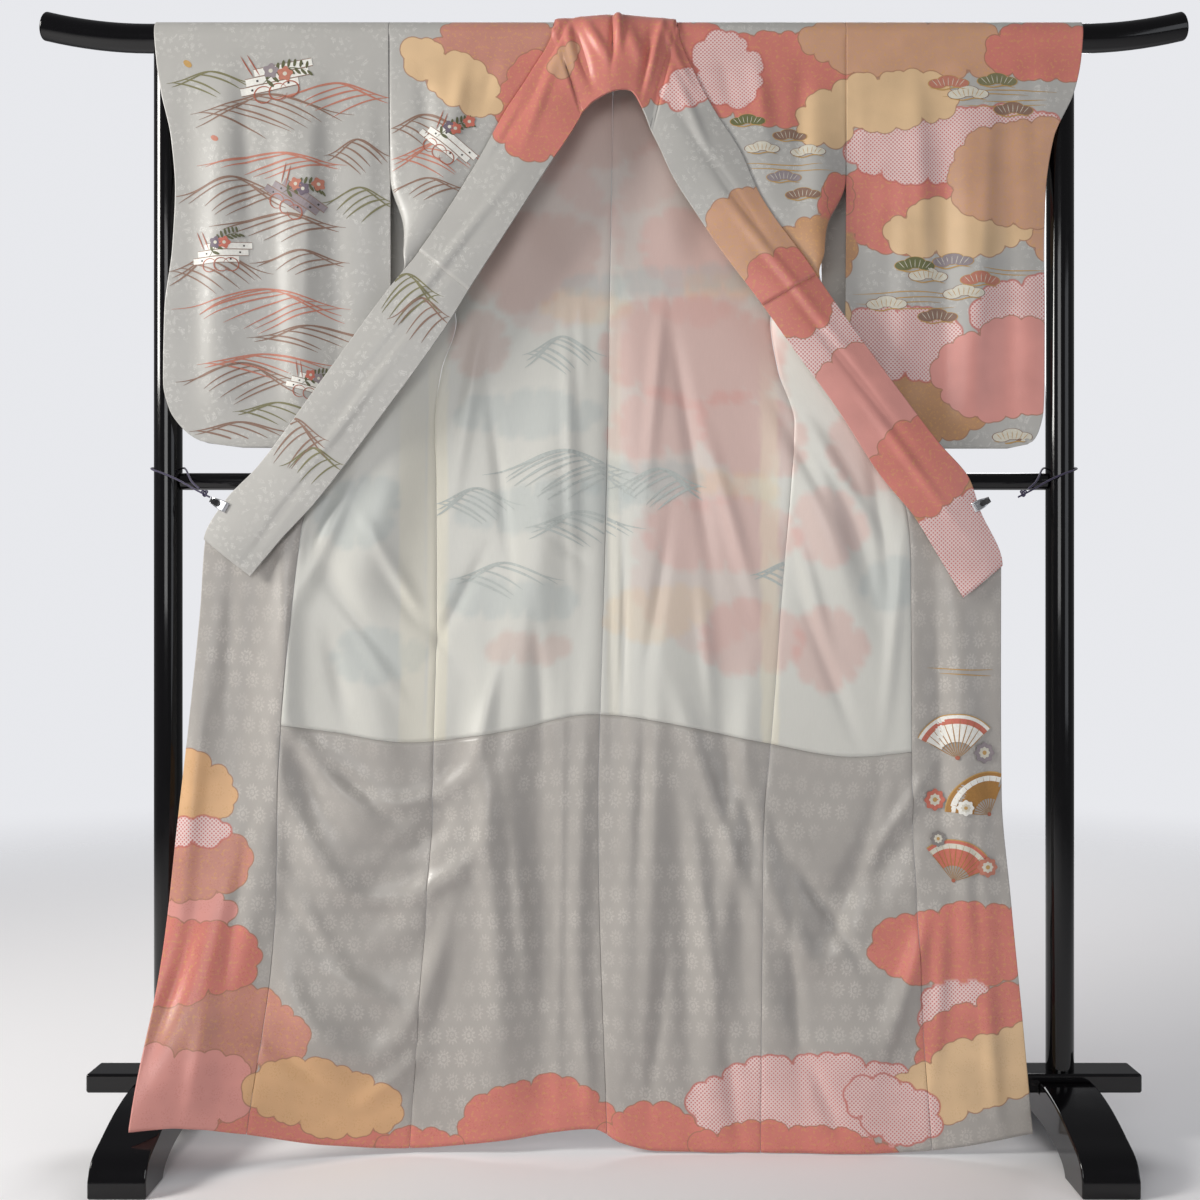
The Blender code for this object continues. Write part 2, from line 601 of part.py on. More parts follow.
def collar_section(seam, free):
    """One section of the collar from its seam to its free edge, led over the bar in an arc
    where the straight way would cut it."""
    radius = COLLAR_RADIUS + NECK_RISE
    start_turn, end_turn = [math.atan2(-p[1], p[2] - BAR_Z) for p in (seam, free)]
    start_radius, end_radius = [math.hypot(p[1], p[2] - BAR_Z) for p in (seam, free)]
    start_radius = max(start_radius, CLOTH_RADIUS + COLLAR_START_LIFT)
    leave = end_turn - math.acos(radius / end_radius)
    arc = max(leave - start_turn, 0.0) * radius
    run = math.sqrt(end_radius ** 2 - radius ** 2)
    leave_y, leave_z = -radius * math.sin(leave), BAR_Z + radius * math.cos(leave)
    section = []
    for w in np.linspace(0.0, 1.0, COLLAR_ROWS + 1) ** COLLAR_SPACING:
        point = seam + (free - seam) * w
        along = w * (arc + run)
        if arc == 0:
            point[1] -= COLLAR_BOW * math.sin(math.pi * w)
        elif along < arc:
            turn = start_turn + along / radius
            reach = start_radius + (radius - start_radius) * ease(0.0, COLLAR_START_RUN, along)
            point[1:] = -reach * math.sin(turn), BAR_Z + reach * math.cos(turn)
        else:
            t = (along - arc) / run
            point[1:] = leave_y + (free[1] - leave_y) * t, leave_z + (free[2] - leave_z) * t
        section.append(point)
    return section


def collar_side_section(side, distance):
    """Collar section beside the front panel's edge above the waist, in front of it below."""
    z = bar_height(distance)
    seam = front_point(side, 1.0, distance)
    layered = ease(*COLLAR_LAYER, z)
    seam[0] -= SIGN[side] * COLLAR_SEAM_SIDE * (1 - layered)
    seam[1] -= (COLLAR_WALL - WALL) / 2 + COLLAR_SEAM_LIFT * layered
    row = [read(COLLAR_EDGE[side], column, z) for column in ("x", "y", "z")]
    free = np.array((SIGN[side] * row[0], row[1], row[2]))
    section = collar_section(seam, free)
    for point in section:
        if point[2] < COLLAR_REST_TOP and layered == 1.0:
            point[1] = min(point[1], front_depth(side, point[0], point[2]) - COLLAR_CLEARANCE)
    return section


def collar_grid(ends):
    """Collar from one end round the neck to the other; ends gives the height of each end."""
    rows = list(SHOULDER_ROWS) + distances(UPPER_HEIGHTS + SKIRT_HEIGHTS)
    left = [d for d in rows if bar_height(d) > ends[LEFT] + LEAST_ROW] + distances([ends[LEFT]])
    right = [d for d in rows if bar_height(d) > ends[RIGHT] + LEAST_ROW] + distances([ends[RIGHT]])
    grid = [collar_side_section(LEFT, d) for d in reversed(left)]
    grid += [collar_section(np.array(row[:3]), np.array(row[3:])) for row in NECK]
    grid += [collar_side_section(RIGHT, d) for d in right]
    return np.array(grid)


def grid_of(place, columns, rows):
    """Points of place(u, row) with u from 0 to 1, one line of them for each row."""
    return np.array([[place(u, row) for u in np.linspace(0, 1, columns + 1)] for row in rows])


def grid_mesh(grid):
    """Open surface through the points, a primitive grid with its vertices moved onto them."""
    rows, columns = grid.shape[0] - 1, grid.shape[1] - 1
    shape = bmesh.new()
    bmesh.ops.create_grid(shape, x_segments=columns, y_segments=rows, size=0.5)
    places = {}
    for vert in shape.verts:
        i, j = round((vert.co.x + 0.5) * columns), round((vert.co.y + 0.5) * rows)
        places[j, i] = vert
    for (j, i), vert in places.items():
        vert.co = grid[j][i]
    shape.normal_update()
    return shape, places


def lifted(grid, lift):
    """The same points moved out along the surface normal."""
    shape, places = grid_mesh(grid)
    moved = grid.copy()
    for (j, i), vert in places.items():
        moved[j][i] += lift * np.array(vert.normal)
    shape.free()
    return moved


def link(name, mesh, made_of):
    mesh.materials.append(made_of)
    item = bpy.data.objects.new(name, mesh)
    COLLECTION.objects.link(item)
    return item


def sheet(name, made_of, grid, thickness):
    """Cloth wall: a grid laid through the points, given its thickness."""
    mesh = bpy.data.meshes.new(name)
    shape, _ = grid_mesh(grid)
    shape.to_mesh(mesh)
    shape.free()
    wall = link(name, mesh, made_of).modifiers.new("wall", "SOLIDIFY")
    wall.thickness = thickness
    wall.offset = 0.0


def build_body(silk):
    """Back and front panels, parted at the top of the bar."""
    rows = list(SHOULDER_ROWS) + distances(UPPER_HEIGHTS + SKIRT_HEIGHTS)
    for side in (LEFT, RIGHT):
        def front(u, distance):
            last = read(FRONT[side], "overlap_seam", bar_height(distance))
            return front_strip(side, u, distance, 0.0, last, SEAM / 2)

        sheet("back_" + side, silk,
              grid_of(lambda u, d: back_point(side, u, d), BACK_COLUMNS, rows), WALL)
        sheet("front_" + side, silk, grid_of(front, FRONT_COLUMNS, rows), WALL)


def overlap_grid(side, gap):
    rows = distances(SKIRT_HEIGHTS[OVERLAP_TOP_ROW:])

    def overlap(u, distance):
        first = read(FRONT[side], "overlap_seam", bar_height(distance))
        return front_strip(side, u, distance, first, 1.0, gap)

    return grid_of(overlap, OVERLAP_COLUMNS, rows)


def build_overlaps(silk, skirt_silk):
    """Overlap panels, from the point on the collar seam down to the hem, and their lining."""
    lift = WALL / 2 + SEAM + LINING / 2
    for side in (LEFT, RIGHT):
        sheet("okumi_" + side, silk, overlap_grid(side, SEAM / 2), WALL)
        sheet("okumi_lining_" + side, skirt_silk,
              lifted(overlap_grid(side, LINING_INSET)[1:], -SIGN[side] * lift), LINING)


def build_sleeves(silk):
    rows = list(SHOULDER_ROWS) + distances(SLEEVE_HEIGHTS)
    for side in (LEFT, RIGHT):
        for layer in ("front", "back"):
            grid = grid_of(lambda u, d: sleeve_point(side, layer, u, d), SLEEVE_COLUMNS, rows)
            sheet("sleeve_%s_%s" % (side, layer), silk, grid, WALL)


def build_collar(silk):
    sheet("collar", silk, collar_grid(COLLAR_END), COLLAR_WALL)
    sheet("over_collar", silk, lifted(collar_grid(OVER_COLLAR_END), OVER_COLLAR_STEP),
          OVER_COLLAR_WALL)


def build_linings(white_silk, skirt_silk):
    """White upper lining and figured skirt lining, on the camera side of the panels."""
    lift = WALL / 2 + SEAM + LINING / 2
    behind_bar = distances((1.544, 1.492) + UPPER_HEIGHTS)
    upper = distances(SKIRT_HEIGHTS[:LINING_SEAM_ROW + 1])
    skirt = distances(SKIRT_HEIGHTS[LINING_SEAM_ROW:])
    skirt[0] += SEAM
    for side in (LEFT, RIGHT):
        def back(u, distance):
            return back_point(side, u, distance, LINING_INSET)

        def front(u, distance):
            last = read(FRONT[side], "overlap_seam", bar_height(distance))
            return front_strip(side, u, distance, 0.0, last, LINING_INSET)

        out = -SIGN[side] * lift
        sheet("back_lining_" + side, white_silk,
              lifted(grid_of(back, BACK_COLUMNS, behind_bar + upper), out), LINING)
        sheet("back_skirt_lining_" + side, skirt_silk,
              lifted(grid_of(back, BACK_COLUMNS, skirt), out), LINING)
        sheet("front_lining_" + side, white_silk,
              lifted(grid_of(front, FRONT_COLUMNS, upper[1:]), out), LINING)
        sheet("front_skirt_lining_" + side, skirt_silk,
              lifted(grid_of(front, FRONT_COLUMNS, skirt), out), LINING)


def tube(name, made_of, points, radius, resolution):
    """Round bar or cord: a bevelled curve with closed ends."""
    curve = bpy.data.curves.new(name, "CURVE")
    curve.dimensions = "3D"
    curve.bevel_depth = radius
    curve.bevel_resolution = resolution
    curve.use_fill_caps = True
    line = curve.splines.new("POLY")
    line.points.add(len(points) - 1)
    for target, point in zip(line.points, points):
        target.co = (*point, 1.0)
    curve.materials.append(made_of)
    item = bpy.data.objects.new(name, curve)
    COLLECTION.objects.link(item)


def cylinder(name, radius, length, centre, along_x=False, segments=32):
    """Solid round bar from a primitive, its mesh in place."""
    mesh = bpy.data.meshes.new(name)
    shape = bmesh.new()
    bmesh.ops.create_cone(shape, cap_ends=True, segments=segments, radius1=radius, radius2=radius,
                          depth=length)
    for vert in shape.verts:
        x, y, z = vert.co
        vert.co = (z, y, -x) if along_x else (x, y, z)
        vert.co = [a + b for a, b in zip(vert.co, centre)]
    shape.to_mesh(mesh)
    shape.free()
    return mesh


def cutter(name, mesh):
    item = bpy.data.objects.new(name, mesh)
    item.hide_render = True
    item.display_type = "WIRE"
    CUTTERS.objects.link(item)
    return item


def cut(item, tool):
    hollow = item.modifiers.new("cut", "BOOLEAN")
    hollow.operation = "DIFFERENCE"
    hollow.object = tool


def box(name, made_of, low, high, bevel):
    mesh = bpy.data.meshes.new(name)
    shape = bmesh.new()
    bmesh.ops.create_cube(shape, size=1.0)
    for vert in shape.verts:
        vert.co = [(a + b) / 2 + c * (b - a) for a, b, c in zip(low, high, vert.co)]
    shape.to_mesh(mesh)
    shape.free()
    edge = link(name, mesh, made_of).modifiers.new("bevel", "BEVEL")
    edge.width = bevel
    edge.segments = 2


def build_rack(lacquer):
    curl_start = BAR_HALF_LENGTH - BAR_CURL_LENGTH
    curl = [(curl_start + BAR_CURL_LENGTH * t, 0.0, BAR_Z + BAR_CURL_RISE * t * t)
            for t in np.linspace(0, 1, 6)]
    bar = [(-x, y, z) for x, y, z in reversed(curl)] + curl
    tube("rack_bar", lacquer, bar, BAR_RADIUS, 10)

    saddle = cutter("bar_cutter", cylinder("bar_cutter", BAR_RADIUS + WOOD_GAP, 2.0,
                                           (0, 0, BAR_Z), along_x=True, segments=48))
    rail_mesh = cylinder("rack_rail", RAIL_RADIUS, 2 * (POST_X - POST_RADIUS * 0.75),
                         (0, 0, RAIL_Z), along_x=True, segments=24)
    rail = link("rack_rail", rail_mesh, lacquer)
    post_top = BAR_Z - BAR_RADIUS / 2
    post_foot = BEAM_TOP + WOOD_GAP
    for side in (LEFT, RIGHT):
        x = SIGN[side] * POST_X
        centre = (x, 0, (post_top + post_foot) / 2)
        post = link("rack_post_" + side, cylinder("rack_post_" + side, POST_RADIUS,
                                                  post_top - post_foot, centre), lacquer)
        cut(post, saddle)
        tool = cutter("post_cutter_" + side,
                      cylinder("post_cutter_" + side, POST_RADIUS + WOOD_GAP, 0.2,
                               (x, 0, RAIL_Z), segments=48))
        cut(rail, tool)
        build_foot(side, lacquer)
    box("rack_beam", lacquer, (-BEAM_HALF_LENGTH, -BEAM_DEPTH / 2, BEAM_BOTTOM),
        (BEAM_HALF_LENGTH, BEAM_DEPTH / 2, BEAM_TOP), 0.003)


def build_foot(side, lacquer):
    """Arched foot, let in round the beam: its outline in depth and height, extruded."""
    arch_reach = FOOT_REACH - FOOT_PAD
    arch = [(arch_reach * math.cos(a), FOOT_ARCH_HEIGHT * math.sin(a))
            for a in np.linspace(0, math.pi, 13)]
    half_notch = BEAM_DEPTH / 2 + FOOT_NOTCH
    front = [(-y, z) for y, z in FOOT_TOP] + [(-half_notch, FOOT_TOP[-1][1]),
                                              (-half_notch, BEAM_BOTTOM - WOOD_GAP)]
    outline = [(-FOOT_REACH, 0.0)] + front + [(-y, z) for y, z in reversed(front)]
    outline += [(FOOT_REACH, 0.0)] + arch
    curve = bpy.data.curves.new("rack_foot_" + side, "CURVE")
    curve.dimensions = "2D"
    curve.fill_mode = "BOTH"
    curve.extrude = FOOT_WIDTH / 2
    line = curve.splines.new("POLY")
    line.points.add(len(outline) - 1)
    for target, (y, z) in zip(line.points, outline):
        target.co = (y, z, 0.0, 1.0)
    line.use_cyclic_u = True
    curve.materials.append(lacquer)
    item = bpy.data.objects.new("rack_foot_" + side, curve)
    item.rotation_euler = (math.pi / 2, 0, math.pi / 2)
    item.location = (SIGN[side] * POST_X, 0, 0)
    COLLECTION.objects.link(item)


def build_clip(side, steel):
    """Spring clip: a bent strip that grips the collar's edge, its closed end towards the post."""
    sign = SIGN[side]
    z = CLIP_HEIGHT
    edge = front_point(side, 1.0, distances([z])[0])
    back = edge[1] + WALL / 2 + SEAM + CLIP_METAL / 2
    front = edge[1] - (COLLAR_WALL - WALL) / 2 - COLLAR_SEAM_LIFT - COLLAR_WALL / 2 - SEAM
    front -= CLIP_METAL / 2 + CLIP_PLAY
    middle, half = (back + front) / 2, (back - front) / 2
    eye = CLIP_LENGTH - CLIP_BITE
    flare = half + CLIP_FLARE
    outline = [(-CLIP_BITE, half), (0.0, flare)]
    outline += [(CLIP_NECK + (eye - CLIP_NECK) * math.sin(a), flare * math.cos(a))
                for a in np.linspace(0, math.pi, 9)[1:-1]]
    outline += [(0.0, -flare), (-CLIP_BITE, -half)]
    rows = []
    for across in (-CLIP_WIDTH / 2, CLIP_WIDTH / 2):
        lean = math.radians(CLIP_LEAN)
        rows.append([(edge[0] + sign * (a * math.cos(lean) - across * math.sin(lean)), middle + b,
                      z + a * math.sin(lean) + across * math.cos(lean)) for a, b in outline])
    sheet("clip_" + side, steel, np.array(rows), CLIP_METAL)


def build_tie(side, cord):
    """Cord from the clip's closed end, round the post above the rail, and back to its knot."""
    sign = SIGN[side]
    route = np.array([(sign * x, y, z) for x, y, z in TIE_ROUTE])
    points = []
    for i in range(len(route) - 1):
        a, b, c, d = [route[min(max(i + k, 0), len(route) - 1)] for k in (-1, 0, 1, 2)]
        for t in np.linspace(0, 1, TIE_STEPS, endpoint=False):
            points.append(0.5 * (2 * b + (c - a) * t + (2 * a - 5 * b + 4 * c - d) * t * t
                                 + (3 * b - a - 3 * c + d) * t ** 3))
    points.append(route[-1])
    tube("tie_" + side, cord, points, TIE_RADIUS, 2)


def main():
    clear_scene()
    silk = material("figured_silk", (0.60, 0.58, 0.55), 0.45)
    white_silk = material("white_silk", (0.85, 0.84, 0.80), 0.40)
    skirt_silk = material("skirt_silk", (0.42, 0.39, 0.36), 0.45)
    lacquer = material("black_lacquer", (0.01, 0.01, 0.012), 0.12)
    steel = material("clip_steel", (0.75, 0.75, 0.76), 0.2, metallic=1.0)
    cord = material("purple_cord", (0.03, 0.015, 0.08), 0.7)
    build_body(silk)
    build_overlaps(silk, skirt_silk)
    build_sleeves(silk)
    build_collar(silk)
    build_linings(white_silk, skirt_silk)
    build_rack(lacquer)
    for side in (LEFT, RIGHT):
        build_clip(side, steel)
        build_tie(side, cord)


main()
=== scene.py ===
# %% [markdown]
# A homongi, a woman's visiting kimono, hung open over the bar of a lacquered rack. The shoulders
# and sleeves lie over the bar, and both fronts are swung outwards, so that the lining faces the
# viewer. Silk this large could be simulated, but a kimono is cut only in straight strips. Each
# strip is therefore worked out as a surface of two parameters, across and along the cloth, which
# keeps its seams straight and lets every fold be placed one by one.
# %% Load the frame
import math
from collections import namedtuple

import bpy
import numpy as np
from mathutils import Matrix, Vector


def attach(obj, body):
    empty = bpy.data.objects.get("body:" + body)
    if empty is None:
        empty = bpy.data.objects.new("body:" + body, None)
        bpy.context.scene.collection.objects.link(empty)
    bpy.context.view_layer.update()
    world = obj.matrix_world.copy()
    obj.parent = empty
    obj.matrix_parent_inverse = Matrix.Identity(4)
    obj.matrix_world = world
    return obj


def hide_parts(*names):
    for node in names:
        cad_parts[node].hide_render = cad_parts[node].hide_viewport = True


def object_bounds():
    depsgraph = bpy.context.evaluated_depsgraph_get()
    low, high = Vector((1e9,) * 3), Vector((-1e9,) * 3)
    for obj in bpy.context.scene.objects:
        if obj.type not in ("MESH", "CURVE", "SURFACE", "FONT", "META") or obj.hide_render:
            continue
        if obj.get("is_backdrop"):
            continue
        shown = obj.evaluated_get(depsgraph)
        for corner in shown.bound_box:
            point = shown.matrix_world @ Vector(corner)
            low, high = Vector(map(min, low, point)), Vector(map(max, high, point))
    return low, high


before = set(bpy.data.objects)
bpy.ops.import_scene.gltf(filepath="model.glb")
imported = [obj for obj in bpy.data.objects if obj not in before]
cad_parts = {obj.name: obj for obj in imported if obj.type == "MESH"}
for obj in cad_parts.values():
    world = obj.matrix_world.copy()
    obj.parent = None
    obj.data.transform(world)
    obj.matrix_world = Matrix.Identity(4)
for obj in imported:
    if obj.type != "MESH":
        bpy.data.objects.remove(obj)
cad_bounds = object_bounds()
print("frame:", len(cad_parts), "nodes,", [[round(c, 3) for c in corner] for corner in cad_bounds])

# %% [markdown]
# Colours are picked as sRGB hex values, and a shader works in linear light, so one function turns
# them. Another adds one node with its settings, and links any socket that is given another node.
# %% Colour and node helpers


def linear(hex_colour):
    """sRGB hex to linear: divide by 12.92 near black, otherwise the 2.4 power curve."""
    channels = [int(hex_colour[i:i + 2], 16) / 255 for i in (1, 3, 5)]
    return tuple(c / 12.92 if c <= 0.04045 else ((c + 0.055) / 1.055) ** 2.4
                 for c in channels) + (1.0,)


def feed(node, inputs):
    """Fills sockets, by name or in their order: a plain value is set, and another node or one of
    its outputs is linked."""
    for place, value in inputs.items() if isinstance(inputs, dict) else enumerate(inputs):
        # a Mix node has sockets of one name for each kind of data, and only one is in use
        socket = (next(s for s in node.inputs if s.enabled and s.name == place)
                  if isinstance(place, str) else node.inputs[place])
        if isinstance(value, bpy.types.Node):
            value = next(out for out in value.outputs if out.enabled)
        if isinstance(value, bpy.types.NodeSocket):
            node.id_data.links.new(value, socket)
        else:
            socket.default_value = value


def add(tree, kind, inputs=(), operation=None, **settings):
    """Adds one shader node with its operation and settings, and fills its sockets."""
    node = tree.nodes.new("ShaderNode" + kind)
    if operation:
        node.operation = operation
    for name, value in settings.items():
        setattr(node, name, value)
    feed(node, inputs)
    return node


def new_material(name):
    """An empty Principled material: its tree and its shader node."""
    made = bpy.data.materials.new(name)
    made.use_nodes = True
    return made, made.node_tree, made.node_tree.nodes["Principled BSDF"]


def show(name, data, finish=None):
    """Puts a camera, a light or a mesh with its material into the scene."""
    if finish:
        data.materials.append(finish)
    item = bpy.data.objects.new(name, data)
    bpy.context.scene.collection.objects.link(item)
    return item


# %% [markdown]
# The camera stands in front of the middle of the rack at about hip height, 1.95 m from the bar,
# as the perspective of the beam and the feet shows. The light is a window on the left, which draws
# the folds, a weaker panel in front, less from the right and from behind, and a dim even room.
# %% Camera, floor and light
CAMERA_DISTANCE = 1.95
CAMERA_HEIGHT = 0.712
FOCAL_PIXELS = 1373
FRAME_PIXELS = 1200
CENTRE_SHIFT = (-14 / FRAME_PIXELS, 40 / FRAME_PIXELS)
SENSOR = 36.0
FLOOR_RADIUS = 6.0
FLOOR_FADE = (1.2, 4.5)    # the floor fades into the room between these distances
FLOOR_COLOUR = "#F4F3F5"
ROOM_COLOUR = "#EDEEF2"
ROOM_LIGHT, ROOM_SEEN = 0.18, 0.95     # what the room gives to the cloth, and to the camera
LAMP_TARGET = np.array((0.0, 0.0, 0.85))
LAMPS = (                  # name, place, size, power, colour
    ("window", (-3.1, -1.2, 2.1), 1.1, 98, "#FFFDF8"), ("front", (-0.6, -3.2, 1.5), 1.4, 24, "#FFFFFF"),
    ("fill", (2.6, -2.4, 1.2), 1.6, 11, "#F4F8FF"), ("rear", (0.5, 2.8, 2.6), 2.2, 60, "#FFFFFF"),
)

camera = bpy.data.cameras.new("camera")
camera.sensor_width = SENSOR
camera.lens = FOCAL_PIXELS / FRAME_PIXELS * SENSOR
camera.shift_x, camera.shift_y = CENTRE_SHIFT
camera.clip_start = 0.01
viewer = show("camera", camera)
viewer.location = (0.0, -CAMERA_DISTANCE, CAMERA_HEIGHT)
viewer.rotation_euler = (math.pi / 2, 0, 0)
bpy.context.scene.camera = viewer
bpy.context.scene.view_settings.view_transform = "Standard"

floor_material, tree, shader = new_material("floor")
feed(shader, {"Base Color": linear(FLOOR_COLOUR), "Roughness": 0.8})
place = add(tree, "TexCoord").outputs["Object"]
reach = add(tree, "VectorMath", (place,), "LENGTH").outputs["Value"]
fade = add(tree, "MapRange", {"Value": reach, "From Min": FLOOR_FADE[0], "From Max": FLOOR_FADE[1]},
           interpolation_type="SMOOTHSTEP")
blend = add(tree, "MixShader", (fade, shader, add(tree, "BsdfTransparent")))
feed(tree.nodes["Material Output"], {"Surface": blend})
corners = [(x * FLOOR_RADIUS, y * FLOOR_RADIUS, 0) for x, y in ((-1, -1), (1, -1), (1, 1), (-1, 1))]
floor_mesh = bpy.data.meshes.new("floor")
floor_mesh.from_pydata(corners, [], [(0, 1, 2, 3)])
floor = show("floor", floor_mesh, floor_material)
floor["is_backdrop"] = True

world = bpy.data.worlds.new("room")
bpy.context.scene.world = world
world.use_nodes = True
seen = add(world.node_tree, "LightPath").outputs["Is Camera Ray"]
strength = add(world.node_tree, "MapRange", {"Value": seen, "To Min": ROOM_LIGHT, "To Max": ROOM_SEEN})
feed(world.node_tree.nodes["Background"], {"Color": linear(ROOM_COLOUR), "Strength": strength})

for name, place, size, power, colour in LAMPS:
    light = bpy.data.lights.new(name, "AREA")
    light.energy, light.size, light.color = power, size, linear(colour)[:3]
    item = show(name, light)
    item.location = place
    away = LAMP_TARGET - np.array(place)
    item.rotation_euler = (math.acos(-away[2] / np.linalg.norm(away)), 0,
                           math.atan2(away[1], away[0]) - math.pi / 2)
print("camera", tuple(viewer.location), "lamps", [lamp[0] for lamp in LAMPS])

# %% [markdown]
# The cloth's sizes come in small tables with named columns: a row for each height where a line
# of the garment changes. They are the tables of the construction solids, so every piece of silk
# lies where its solid does. They are written in millimetres, as on a cutter's sheet; single sizes
# are metres. x is measured from the middle.
# %% Walls, gaps and the bar
NO_LENGTHS = {"layer", "lean", "overlap_seam", "face", "lines", "strength"}
WORDS = {"kind", "colour"}
FOLD = "x z width length lean depth"
CLOUD = "layer kind x z width height lean"
BAND = "colour x z width height face lines"
LEFT, RIGHT = "left", "right"
SIGN = {LEFT: -1.0, RIGHT: 1.0}    # of x


def table(columns, text):
    """Rows with named columns. A comma parts two rows, and a line with # is a remark. Lengths are
    written in millimetres and kept in metres."""
    Row = namedtuple("Row", columns)
    rows = " ".join(line for line in text.splitlines() if "#" not in line).split(",")
    return tuple(Row(*(word if name in WORDS else float(word) / (1 if name in NO_LENGTHS else 1000)
                       for name, word in zip(Row._fields, row.split()))) for row in rows)


def sides(columns, left, right):
    """One table for each side of the garment."""
    return {LEFT: table(columns, left), RIGHT: table(columns, right)}


SILK = 0.0009              # outer silk with its share of the padding between the layers
LINING = 0.0007
COLLAR_THICKNESS = 0.0022
SOLID_WALL = 0.0012        # the walls of the solids, which set how far apart the layers lie
SOLID_LINING = 0.0010
SOLID_COLLAR = 0.0024
SOLID_OVER_COLLAR = 0.0010
SEAM = 0.0003
CORNER_GAP = 0.0006
LINING_INSET = 0.0005

# Rack
BAR_RADIUS = 0.0195
BAR_Z = 1.566
BAR_HALF_LENGTH = 0.808
BAR_CURL_LENGTH = 0.150
BAR_CURL_RISE = 0.018
POST_X = 0.633
POST_RADIUS = 0.0195
RAIL_Z = 0.937
RAIL_RADIUS = 0.012
BEAM_HALF_LENGTH = 0.740
BEAM_DEPTH = 0.056
BEAM_BOTTOM = 0.077
BEAM_TOP = 0.104
FOOT_WIDTH = 0.075
FOOT_REACH = 0.205
FOOT_PAD = 0.070
FOOT_ARCH_HEIGHT = 0.038
FOOT_NOTCH = 0.0006        # play of the beam in the foot
WOOD_GAP = 0.0003

# Top line of a foot: distance in front of the beam's middle, height
FOOT_TOP = table("reach z", """
    205 22, 200 35, 190 47, 156 62, 125 74, 95 83, 64 89, 40 92
""")

CLOTH_RADIUS = BAR_RADIUS + 0.0008 + SOLID_WALL / 2
COLLAR_RADIUS = CLOTH_RADIUS + SOLID_WALL / 2 + SEAM + SOLID_COLLAR / 2
OVER_COLLAR_STEP = SOLID_COLLAR / 2 + SEAM + SOLID_OVER_COLLAR / 2
LINING_STEP = SOLID_WALL / 2 + SEAM + SOLID_LINING / 2
QUARTER_TURN = CLOTH_RADIUS * math.pi / 2
SLEEVE_LAP = 0.028         # below the armhole the sleeve's back layer reaches in behind the body
SLEEVE_LAP_DEPTH = 0.010
SLEEVE_LAP_FULL = 1.300
print("cloth lies %.1f mm from the bar's axis" % (1000 * CLOTH_RADIUS))

# %% [markdown]
# The tables of the garment's lines, from the shoulders down. Each row's first number is a height
# above the floor, or for the hem a place from left to right.
# %% Lines of the garment
# Side line of the back panels: armhole, side opening, side seam. x is the distance from the middle
SIDE = table("z left right y", """
    1592 316.5 326.5 20.9, 1566 316.5 326.5 20.9, 1472 315.5 326 18, 1357 313 325 11, 1282 283 288 5,
    1217 243 242 -1, 1162 224 222 -6, 1092 244 232 -11, 1017 253 254 -16, 937 250 249 -20.5,
    772 248 235 -27, 572 252 218 -33, 472 253.6 208.5 -36, 332 261.5 206 -39, 102 278 204 -44,
    0 285 203 -46
""")

# Outer line of each front: collar seam from the neck to the clip, then the free edge to the hem
EDGE = sides("z x y", """
    1592 83 -20.9, 1566 86 -20.9, 1504 118 -26, 1448 153 -31, 1383 187 -37, 1247 272 -44, 1199 311 -45,
    1074 402 -47, 951 493 -48, 905 537 -47, 851 567 -46, 752 574 -45, 575 588 -50, 414 604 -64,
    240 616 -95, 70 629 -150, 0 633 -170
""", """
    1592 87 -20.9, 1566 90 -20.9, 1503 114 -26, 1457 137 -31, 1392 176 -37, 1332 202 -41, 1230 271 -45,
    1150 326 -46, 1069 385 -47, 984 449 -48, 934 491 -48, 893 505 -47, 815 537 -46, 662 537 -45,
    508 538 -45, 351 550 -48, 203 563 -52, 32 577 -56, 0 580 -57
""")

# Front armhole seam and the front edge of the side opening, down to the top of the side seam
ARMHOLE = table("z left right y", """
    1592 316.5 326.5 -20.9, 1566 316.5 326.5 -20.9, 1472 315.5 326 -24, 1357 313 325 -27,
    1282 284 288 -13, 1217 243 242 -1
""")

# Front panel: the middle of each section, where the cloth turns back on itself above the waist,
# and the place of the overlap seam between the side line, 0, and the outer line, 1
FRONT = sides("z middle_x middle_y overlap_seam", """
    1592 200 -20.9 1, 1566 201 -20.9 1, 1472 235 -30 1, 1412 265 -36 1, 1357 279 -42 1, 1292 288 -44 1,
    1252 292 -44 1, 1217 283 -40 1, 1162 280 -37 0.77, 1072 325 -38 0.67, 972 365 -39 0.62,
    872 402 -40 0.6, 572 420 -43 0.62, 272 435 -62 0.6, 0 456 -86 0.62
""", """
    1592 207 -20.9 1, 1566 208 -20.9 1, 1472 235 -30 1, 1412 260 -36 1, 1357 279 -42 1, 1292 288 -44 1,
    1252 292 -44 1, 1217 280 -40 1, 1162 275 -37 0.77, 1072 312 -38 0.67, 972 355 -39 0.62,
    872 379 -40 0.61, 572 379 -40 0.61, 272 381 -45 0.62, 0 392 -51 0.63
""")

# Middle seam of the back
MIDDLE = table("z x", """
    1592 0, 1022 -9, 602 -19, 472 -22, 0 -9
""")

# Height of the hem, and of the seam between the two linings, against world x
HEM = table("x hem lining_seam", """
    -660 75 612, -590 71 606, -508 51 600, -392 21 584, -284 10 569, -150 22 585, -30 36 608, 10 17 606,
    60 6 599, 203 4 570, 335 4 549, 428 8 558, 590 36 572
""")
NOMINAL_HEM = 0.022
HEM_BLEND_TOP = 0.35

